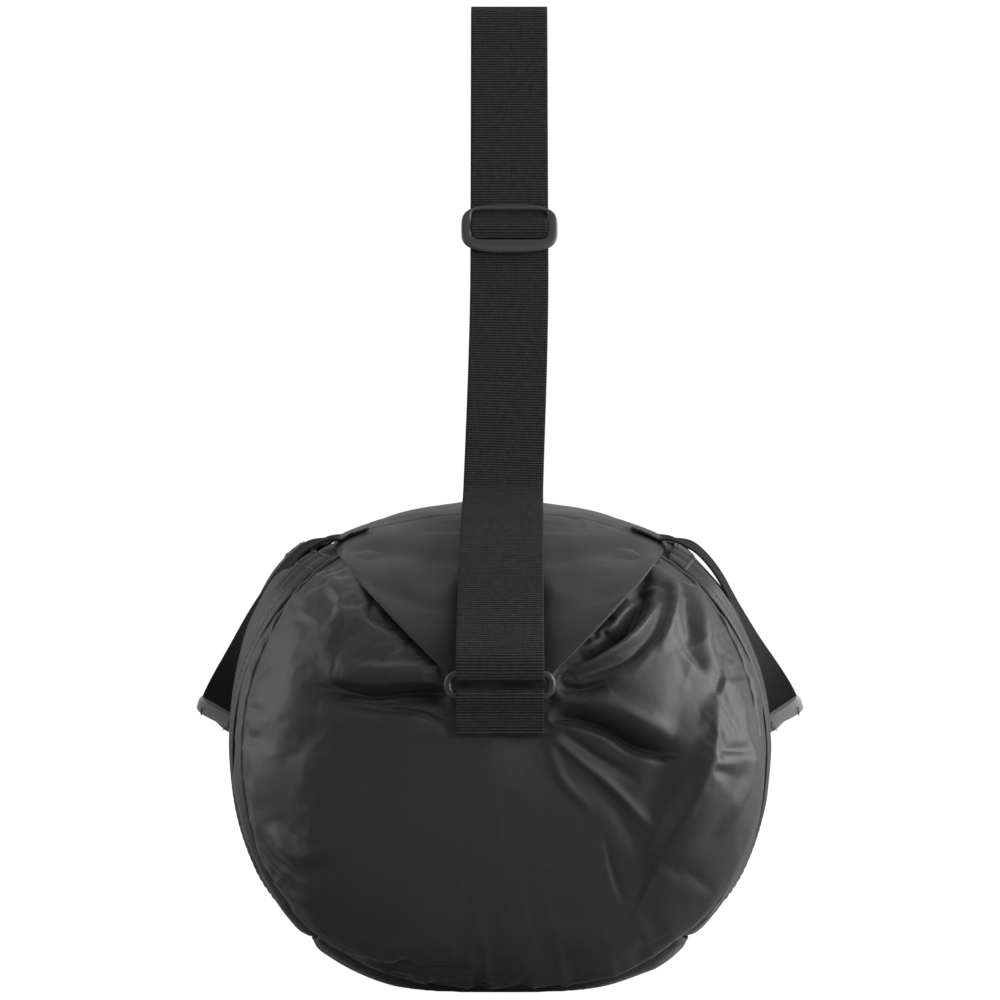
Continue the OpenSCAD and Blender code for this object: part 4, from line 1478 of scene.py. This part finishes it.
        def rounded(half: float, low: float, high: float, power: float, bulge: float, a: float) -> Point:
            """Point of a rounded outline with bowed sides, at angle a."""
            c, w = math.cos(a), math.sin(a)
            up = (high + low) / 2 + (high - low) / 2 * signed_power(w, 2 / power)
            x = (half + bulge * (1 - w**2)) * signed_power(c, 2 / power)
            return x, up

        count, across = 96, 16
        rings = []
        for a in np.linspace(0, math.tau, count, endpoint=False):
            outer = rounded(26.6, -15.8, 17.2, 3.9, 4.2, a)
            inner = rounded(24.3, -6.8, 13.4, 9.0, 0.0, a)
            section = []
            for b in np.linspace(0, math.tau, across, endpoint=False):
                share = 0.5 + 0.5 * signed_power(math.cos(b), 0.7)
                thick = 1.7 * signed_power(math.sin(b), 0.7)
                x, up = (i + (o - i) * share for i, o in zip(inner, outer))
                section.append(place(x, up, 4.5 + thick - 0.9 * up / 13))
            rings.append(section)
        points = np.array(rings).reshape(-1, 3)
        faces = grid_faces(count, across, wrap=True) + closing_faces(count, across)
        plate = recalculated(make_object("adjuster_plate", points, faces))
        line = np.array([place(x, 1.8, 3.6) for x in np.linspace(-27, 27, 24)])
        bar = sweep("adjuster_middle", line, soft_box(2.0 * MM, 2.0 * MM, 3.2, 12), same(ahead3, len(line)))
        body = joined("adjuster_moulding", [plate, bar])
        self.shop.fix(body, ADJUSTER_PLASTIC, "adjuster", "adjuster_plastic", "strap_adjuster")
        bulge = [(-5.4, 4.1), (-3.2, 4.8), (0.0, 5.9), (3.4, 5.9), (7.0, 4.4), (11.0, 2.3), (14.0, 2.1)]
        path = np.array([place(0, up, out) for up, out in curve_through(bulge, 5)])
        path = even_steps(path, 0.9 * MM)
        turn = sweep("adjuster_turn", path, webbing_outline(self.width - 1 * MM, self.thickness),
                     same((1.0, 0, 0), len(path)))
        self.shop.fix(turn, STRAP, "adjuster", "strap_webbing")

    def ring(self, end: End) -> None:
        """Builds one ring, with rounded ends."""
        low, high = (np.array([0, -end.value * p[0], p[1]]) for p in (self.ring_low, self.ring_high))
        centre, rise = (low + high) / 2, (high - low) / 2
        half, corner = 29.6 * MM, 5.0 * MM
        tall = np.linalg.norm(rise)
        points = []
        for sx, sz, start in ((1, 1, 0), (-1, 1, 90), (-1, -1, 180), (1, -1, 270)):
            for a in np.radians(np.linspace(start, start + 90, 8)):
                x = sx * (half - corner) + corner * math.cos(a)
                up = (sz * (tall - corner) + corner * math.sin(a)) / tall
                points.append(centre + np.array([x, 0, 0]) + up * rise)
        path = np.array(points)
        path = even_steps(np.vstack([path, path[:1]]), 2 * MM)[:-1]
        name = f"{end.name.lower()}_ring"
        obj = sweep(name + "_moulding", path, soft_box(2 * self.bar_radius, 2 * self.bar_radius, 2.4, 14),
                    same([0, 1.0, 0], len(path)), closed=True)
        self.shop.fix(obj, RING_PLASTIC, name, "ring_plastic", name)

    def anchor(self, end: End) -> None:
        """Builds the webbing that holds a ring to an end panel."""
        low_y, low_z = self.ring_low
        radius = self.bar_radius + self.thickness / 2 + 0.15 * MM
        back = [(-251.6 * MM, 154.8 * MM), (-251.7 * MM, 168 * MM)]
        front = [(-254.6 * MM, 167 * MM), (-253.4 * MM, 158 * MM), (-253.3 * MM, 154.2 * MM)]
        path = np.array(back + arc((low_y, low_z), radius, -20, 200, 16) + front)
        path[:, 0] *= -end.value
        name = f"{end.name.lower()}_anchor_web"
        obj = self.band(name + "bing", path, step=1.2 * MM, wave=0.0)
        self.shop.fix(obj, STRAP, "bag", "strap_webbing", name)
        lift = same([0, end.value, 0.0], 16)
        rows = []
        for k, z in enumerate((157.2, 163.0)):
            x = np.linspace(-22.5, 22.5, 16) * MM
            y = end.value * (254.15 + 0.25 * k)
            line = np.column_stack([x, np.full(16, y * MM), np.full(16, z * MM)])
            rows.append(stitches(f"{name}_row_{k}", line, lift))
        self.shop.fix(joined(f"{end.name.lower()}_anchor_thread", rows), THREAD, "bag", "strap_webbing")

    def build(self) -> None:
        """Builds the strap and its fittings."""
        self.long_strap()
        self.return_layer()
        self.adjuster()
        for end in End:
            self.ring(end)
            self.anchor(end)


# ------------------------------------------------------------------ carry handles


@dataclass
class CarryHandle:
    """A webbing handle with a wrapped grip, sewn over the rim on one side."""

    shop: Workshop
    bag: BagBody
    side: Side
    width: float = 25 * MM
    thickness: float = 1.6 * MM
    leg_y: float = 95.0
    grip_half: float = 50.0
    grip_tilt: float = 48.7
    grip_width: float = 28.0 * MM
    grip_depth: float = 9.4 * MM
    bend_from: float = 4.6
    bend_run: float = 2.4
    profile: tuple[Point, ...] = (
        (-103.6, 262.6), (-112, 261.4), (-123, 256.2), (-136, 241), (-149, 216), (-160.5, 189), (-172.5, 165),
        (-179.5, 150.5),
    )

    def middle(self, t: Array) -> Array:
        """Middle line of the near leg, from its foot at 0 to the grip at 7."""
        bend = self.leg_y - self.grip_half - 5
        turn = np.clip((t - self.bend_from) / self.bend_run, 0, 1) * math.pi / 2
        at = np.where(t > self.bend_from, self.bend_from + self.bend_run * np.sin(turn), t)
        curve = curve_through(self.profile, 40)
        knots = np.linspace(0, 7, len(curve))
        x, z = (np.interp(at, knots, curve[:, k]) for k in (0, 1))
        return np.column_stack([x, -self.leg_y + bend * (1 - np.cos(turn)), z])

    def path(self) -> tuple[Array, Array]:
        """The whole handle's middle line and the direction of its width at each point."""
        leg = self.middle(np.linspace(0, 7, 64))
        run = np.linspace(-self.grip_half, self.grip_half, 22)
        grip = np.array([[leg[-1, 0], y, leg[-1, 2]] for y in run])
        line = np.vstack([leg, grip, leg[::-1] * np.array([1, -1, 1])]) * MM
        line = even_steps(line, 2.2 * MM)
        count = len(line)
        near = np.clip(np.minimum(np.arange(count), count - 1 - np.arange(count)) / (count * 0.385), 0, 1)
        ahead = tangents(line)
        flat = unit(np.array([0, 1.0, 0]) - ahead * ahead[:, 1:2])
        tilt = math.radians(self.grip_tilt)
        lean = np.array([-math.cos(tilt), 0, math.sin(tilt)])
        other = np.cross(flat, ahead)
        other *= np.where((other * lean).sum(1, keepdims=True) > 0, 1, -1)
        start = 0.06 if self.side is Side.LEFT else 0.30
        lean_in = 0.20 * ease(near / 0.10)
        share = np.sin(math.pi / 2 * np.clip((near - start) / (0.95 - start), 0, 1)) ** 2
        turn = lean_in + (math.pi / 2 - lean_in) * share
        across = np.cos(turn)[:, None] * flat + np.sin(turn)[:, None] * other
        across = np.where(near[:, None] > 0.985, unit(lean - ahead * (ahead @ lean)[:, None]), across)
        return line, across

    def build(self) -> None:
        """Builds the webbing, the grip and the sewn feet."""
        name = self.side.name.lower()
        mirror = np.array([-self.side.value, 1, 1])
        line, across = self.path()
        outline = webbing_outline(self.width, self.thickness)
        web = sweep(f"{name}_handle_webbing", line * mirror, outline, across * mirror)
        self.shop.fix(web, HANDLE, f"{name}_handle", "handle_webbing", f"{name}_handle_web")
        self.grip(name, line, across)
        self.feet(name)

    def grip(self, name: str, line: Array, across: Array) -> None:
        """Builds the wrapped grip, which covers the web's two bends, with a stitched seam.

        Args:
            name: the side's name.
            line: middle line of the whole handle, on the left.
            across: direction of the web's width at each point.
        """
        mirror = np.array([-self.side.value, 1, 1])
        inside = np.abs(line[:, 1]) < (self.leg_y - 14) * MM
        inside &= line[:, 2] < 0.176
        path, width = line[inside], across[inside]
        run = np.linspace(-1, 1, len(path))
        full = 1 - 0.28 * np.abs(run) ** 24
        gather = 1 + 0.014 * np.sin(run * 40 + 0.6)
        outline = soft_box(self.grip_width, self.grip_depth, 3.0, 28)
        swell = np.column_stack([gather * (0.55 + 0.45 * full), full])
        wrap = sweep(f"{name}_grip_wrap", path * mirror, outline, width * mirror, scale=swell)
        self.shop.fix(wrap, GRIP, f"{name}_handle", "handle_grip", f"{name}_handle_grip")
        ahead = tangents(path)
        out = unit(np.cross(width, ahead))
        rows = []
        for k, (shift, face) in enumerate(((9.6, 1), (-9.6, 1), (9.6, -1), (-9.6, -1))):
            row = path + shift * MM * width + 4.5 * MM * face * out
            rows.append(stitches(f"{name}_grip_row_{k}", row[3:-3] * mirror, face * out[3:-3] * mirror))
        self.shop.fix(joined(f"{name}_grip_thread", rows), THREAD, f"{name}_handle", "handle_grip")

    def feet(self, name: str) -> None:
        """Builds the two feet of the handle, sewn flat on the lid beside its rim."""
        parts, rows = [], []
        sign = self.side.value
        for k, y in enumerate((-self.leg_y, self.leg_y)):
            spots = [self.bag.on_lid(self.side, sign * x * MM, y * MM) for x in (98.5, 93, 88, 82.5)]
            height = curve_through([(abs(p[0]), p[2]) for p, _ in spots], 8)
            flat_y = np.full(len(height), y * MM)
            line = np.column_stack([sign * height[:, 0], flat_y, height[:, 1] + 1.3 * MM])
            line = np.vstack([[sign * 103.2 * MM, y * MM, self.profile[0][1] * MM], line])
            side = same([0, 1.0, 0], len(line))
            parts.append(sweep(f"{name}_foot_{k}", line, webbing_outline(self.width, self.thickness), side))
            up = same([0, 0, 1.0], len(line))
            for shift in (-9, 9):
                shifted = line + np.array([0, shift, 0.95]) * MM
                rows.append(stitches(f"{name}_foot_row_{k}_{shift}", shifted[3:-2], up[3:-2]))
            for spot in (-3, 8):
                cross = line[spot] + np.array([[0, c, 0.95] for c in np.linspace(-9, 9, 8)]) * MM
                rows.append(stitches(f"{name}_foot_cross_{k}_{spot}", cross, up[:8]))
        feet = joined(f"{name}_handle_feet", parts)
        self.shop.fix(feet, HANDLE, "bag", "handle_webbing", f"{name}_handle_tabs")
        self.shop.fix(joined(f"{name}_foot_thread", rows), THREAD, "bag", "handle_webbing")


# ------------------------------------------------------------------ zip


@dataclass
class TopZip:
    """The zip over the lid: coils, two sliders and their pull tabs."""

    shop: Workshop
    radius: float = 455 * MM
    top: float = 287 * MM
    half: float = 164.5 * MM
    pitch: float = 2.1 * MM
    slider_y: float = 9.5 * MM

    def frame_at(self, y: float) -> tuple[Array, Array, Array]:
        """Point on the zip line, with its forward and upward directions."""
        a = math.asin(y / self.radius)
        ahead, up = np.array([0, math.cos(a), -math.sin(a)]), np.array([0, math.sin(a), math.cos(a)])
        return np.array([0, 0, self.top - self.radius]) + self.radius * up, ahead, up

    def coil(self, side: Side) -> None:
        """Builds one row of teeth as a flattened spiral of thread."""
        turns = int(2 * self.half / self.pitch)
        points = []
        for i in range(turns * 8 + 1):
            y = -self.half + 2 * self.half * i / (turns * 8)
            at, _, up = self.frame_at(y + side.value * self.pitch / 4)
            a = math.tau * i / 8
            x = 2.3 + 1.45 * signed_power(math.cos(a), 0.7)
            points.append(at + MM * (np.array([side.value * x, 0, 0]) + (-2.2 + 0.85 * math.sin(a)) * up))
        path = np.array(points)
        upward = same([0, 0, 1.0], len(path))
        name = side.name.lower()
        coil = sweep(f"{name}_zip_coil", path, soft_box(0.62 * MM, 0.62 * MM, 2.0, 6), upward)
        self.shop.fix(coil, ZIP_COIL, "bag", "zip_coil", f"{name}_zip_teeth")

    def slider(self, end: End) -> None:
        """Builds a slider, with its bridge, and its pull tab lying flat."""
        at, ahead, up = self.frame_at(self.slider_y)
        flip = np.array([1, end.value, 1])

        def place(x: float, along: float, high: float) -> Array:
            """Point given across, out from the middle, and up, in millimetres."""
            return (at + MM * (np.array([x, 0, 0]) + along * ahead + high * up)) * flip

        parts = []
        for k, (high, thick) in enumerate(((0.2, 1.7), (-5.2, 1.4))):
            along = np.linspace(-8, 8, 24)
            line = np.array([place(0, v, high) for v in along])
            out = np.abs(along) / 8
            taper = np.column_stack([1 - 0.28 * ease((along + 2) / 10) - 0.1 * out**8, 1 - 0.35 * out**10])
            outline = soft_box(10.8 * MM, thick * MM, 4, 20)
            parts.append(sweep(f"slider_plate_{k}", line, outline, same([1.0, 0, 0], len(line)), scale=taper))
        line = np.array([place(0, -1.5, h) for h in np.linspace(-5.2, 0.2, 6)])
        outline = soft_box(0.8 * MM, 3.6 * MM, 3, 10)
        parts.append(sweep("slider_post", line, outline, same([1.0, 0, 0], len(line))))
        bridge = curve_through([(-5.2, 0.8), (-4.6, 3.9), (-2.2, 5.0), (2.2, 5.0), (4.6, 3.9), (5.2, 0.8)], 5)
        line = np.array([place(0, a, h - 0.3) for a, h in bridge])
        outline = soft_box(3.0 * MM, 1.1 * MM, 3, 12)
        parts.append(sweep("slider_bridge", line, outline, same([1.0, 0, 0], len(line))))
        name = end.name.lower()
        body = joined(f"{name}_slider_casting", parts)
        self.shop.fix(body, ZIP_METAL, f"{name}_slider", "zip_metal", f"{name}_zip_slider")
        self.pull(end, place)

    def pull(self, end: End, place: Callable[[float, float, float], Array]) -> None:
        """Builds a pull tab: a bent wire eye and a moulded tab with a hole."""
        eye = [(0, 0.0), (3.3, 0.2), (3.9, 3.5), (3.2, 9.0), (0, 10.2)]
        half = curve_through([(x, a) for x, a in eye], 6)
        outline = np.vstack([half, half[-2:0:-1] * np.array([-1, 1])])
        wire = np.array([place(x, a, 2.9) for x, a in outline])
        outline = soft_box(1.5 * MM, 1.5 * MM, 2, 10)
        loop = sweep("pull_eye", wire, outline, same([0, 0, 1.0], len(wire)), closed=True)
        middle, count = 21, 40
        rim, hole = [], []
        for a in np.linspace(0, math.tau, count, endpoint=False):
            c, s = math.cos(a), math.sin(a)
            rim.append((4.2 * signed_power(c, 0.6), middle + 10.6 * signed_power(s, 0.75)))
            hole.append((1.7 * c, 13.4 + 1.7 * s))
        rings = [(rim, 2.05, 0.92), (rim, 2.3, 1.0), (rim, 3.5, 1.0), (rim, 3.8, 0.92), (hole, 3.8, 1.0),
                 (hole, 2.05, 1.0)]
        points, faces = [], []
        for ring, high, size in rings:
            points += [place(x * size, middle + (a - middle) * size, high) for x, a in ring]
        for k in range(len(rings)):
            here, after = k * count, (k + 1) % len(rings) * count
            steps = [(j, (j + 1) % count) for j in range(count)]
            faces += [(here + a, here + b, after + b, after + a) for a, b in steps]
        tab = recalculated(make_object("pull_plate", np.array(points), faces))
        name = f"{end.name.lower()}_pull"
        self.shop.fix(joined(name, [loop, tab]), ZIP_METAL, name, "zip_metal", name + "_tab")

    def build(self) -> None:
        """Builds the whole zip."""
        for side in Side:
            self.coil(side)
            self.shop.redress(f"{side.name.lower()}_zip_tape", ZIP_TAPE)
        for end in End:
            self.slider(end)
        self.shop.redress("zip_end_stops", ZIP_METAL)


# ------------------------------------------------------------------ studio


@dataclass(frozen=True)
class SoftLight:
    """A rectangular soft light of the studio, with its power in watts."""

    name: str
    place: tuple[float, float, float]
    size: tuple[float, float]
    power: float
    aim: tuple[float, float, float] = (0.0, -0.05, 0.15)

    def build(self) -> None:
        """Adds the light to the scene."""
        data = bpy.data.lights.new(self.name, "AREA")
        data.shape = "RECTANGLE"
        data.size, data.size_y = self.size
        data.energy = self.power
        obj = bpy.data.objects.new(self.name, data)
        obj.location = self.place
        obj.rotation_euler = (Vector(self.aim) - Vector(self.place)).to_track_quat("-Z", "Y").to_euler()
        bpy.context.scene.collection.objects.link(obj)


SOFT_LIGHTS = (
    SoftLight("left_wall", (-2.0, 0.35, 0.8), (1.7, 1.9), 19),
    SoftLight("left_front", (-2.1, -1.1, 0.7), (1.2, 1.6), 6),
    SoftLight("right_wall", (1.9, 0.1, 0.8), (1.7, 1.9), 50),
    SoftLight("right_front", (1.8, -1.35, 0.8), (1.2, 1.6), 24),
    SoftLight("overhead", (0, 0.6, 2.3), (1.6, 1.4), 6, aim=(0, 0, 0.1)),
    SoftLight("front_fill", (0.3, -2.9, 1.5), (1.6, 1.0), 4.0),
)


@dataclass
class Studio:
    """White studio: floor, soft lights and the camera."""

    distance: float = 1.85
    eye: float = 0.287
    lens: float = 101.4

    def camera(self) -> None:
        """Sets the camera level with the top of the bag, facing its front end."""
        data = bpy.data.cameras.new("studio_camera")
        data.lens = self.lens
        data.sensor_width = 36.0
        obj = bpy.data.objects.new("studio_camera", data)
        obj.location = (0, -self.distance, self.eye)
        obj.rotation_euler = (math.pi / 2, 0, 0)
        bpy.context.scene.collection.objects.link(obj)
        bpy.context.scene.camera = obj

    def floor(self) -> None:
        """Builds the pale floor."""
        points = np.array([(-9.0, -9.0, 0.0), (9.0, -9.0, 0.0), (9.0, 9.0, 0.0), (-9.0, 9.0, 0.0)])
        obj = make_object("studio_floor", points, [(0, 1, 2, 3)])
        material = bpy.data.materials.new("pale_floor")
        g = empty_graph(material)
        ray = g.add("LightPath").outputs["Is Camera Ray"]
        plain = g.add("BsdfDiffuse", {"Color": (0.36, 0.36, 0.36, 1.0)})
        glow = g.add("Emission", {"Color": (1, 1, 1, 1), "Strength": 1.0})
        lit = g.add("BsdfDiffuse", {"Color": (0.10, 0.10, 0.10, 1.0)})
        both = g.add("AddShader", {0: glow.outputs[0], 1: lit.outputs[0]})
        seen = g.add("MixShader", {0: ray, 1: plain.outputs[0], 2: both.outputs[0]})
        g.add("OutputMaterial", {0: seen.outputs[0]})
        obj.data.materials.append(material)

    def world(self) -> None:
        """Sets the white backdrop, which lights the bag less than it shows."""
        world = bpy.data.worlds.new("studio_world")
        bpy.context.scene.world = world
        g = empty_graph(world)
        ray = g.add("LightPath").outputs["Is Camera Ray"]
        dim = g.add("Background", {"Color": (1, 1, 1, 1), "Strength": 0.26})
        bright = g.add("Background", {"Color": (1, 1, 1, 1), "Strength": 1.0})
        mixed = g.add("MixShader", {0: ray, 1: dim.outputs[0], 2: bright.outputs[0]})
        g.add("OutputWorld", {0: mixed.outputs[0]})

    def build(self) -> None:
        """Builds the whole studio."""
        scene = bpy.context.scene
        scene.view_settings.view_transform = "Standard"
        self.camera()
        self.floor()
        self.world()
        for light in SOFT_LIGHTS:
            light.build()


# ------------------------------------------------------------------ putting it together


def measured_form() -> BagForm:
    """The bag's form, sized from the frame."""
    front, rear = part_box("front_end_panel"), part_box("rear_end_panel")
    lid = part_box("left_lid_panel")
    return BagForm(length=rear[1].y - front[0].y, width=334 * MM, height=lid[1].z)


def main() -> None:
    """Builds the bag, its fittings and the studio."""
    logging.basicConfig(level=logging.INFO, format="%(message)s")
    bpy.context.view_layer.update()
    Studio().build()
    shop = Workshop()
    form = measured_form()
    bag = BagBody(form, shop)
    bag.build()
    SidePocket(form, shop, Side.LEFT, mouth=15 * MM).build()
    SidePocket(form, shop, Side.RIGHT, mouth=1.5 * MM).build()
    ShoulderStrap(shop).build()
    for side in Side:
        CarryHandle(shop, bag, side).build()
    TopZip(shop).build()
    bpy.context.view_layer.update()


if __name__ == "__main__":
    main()
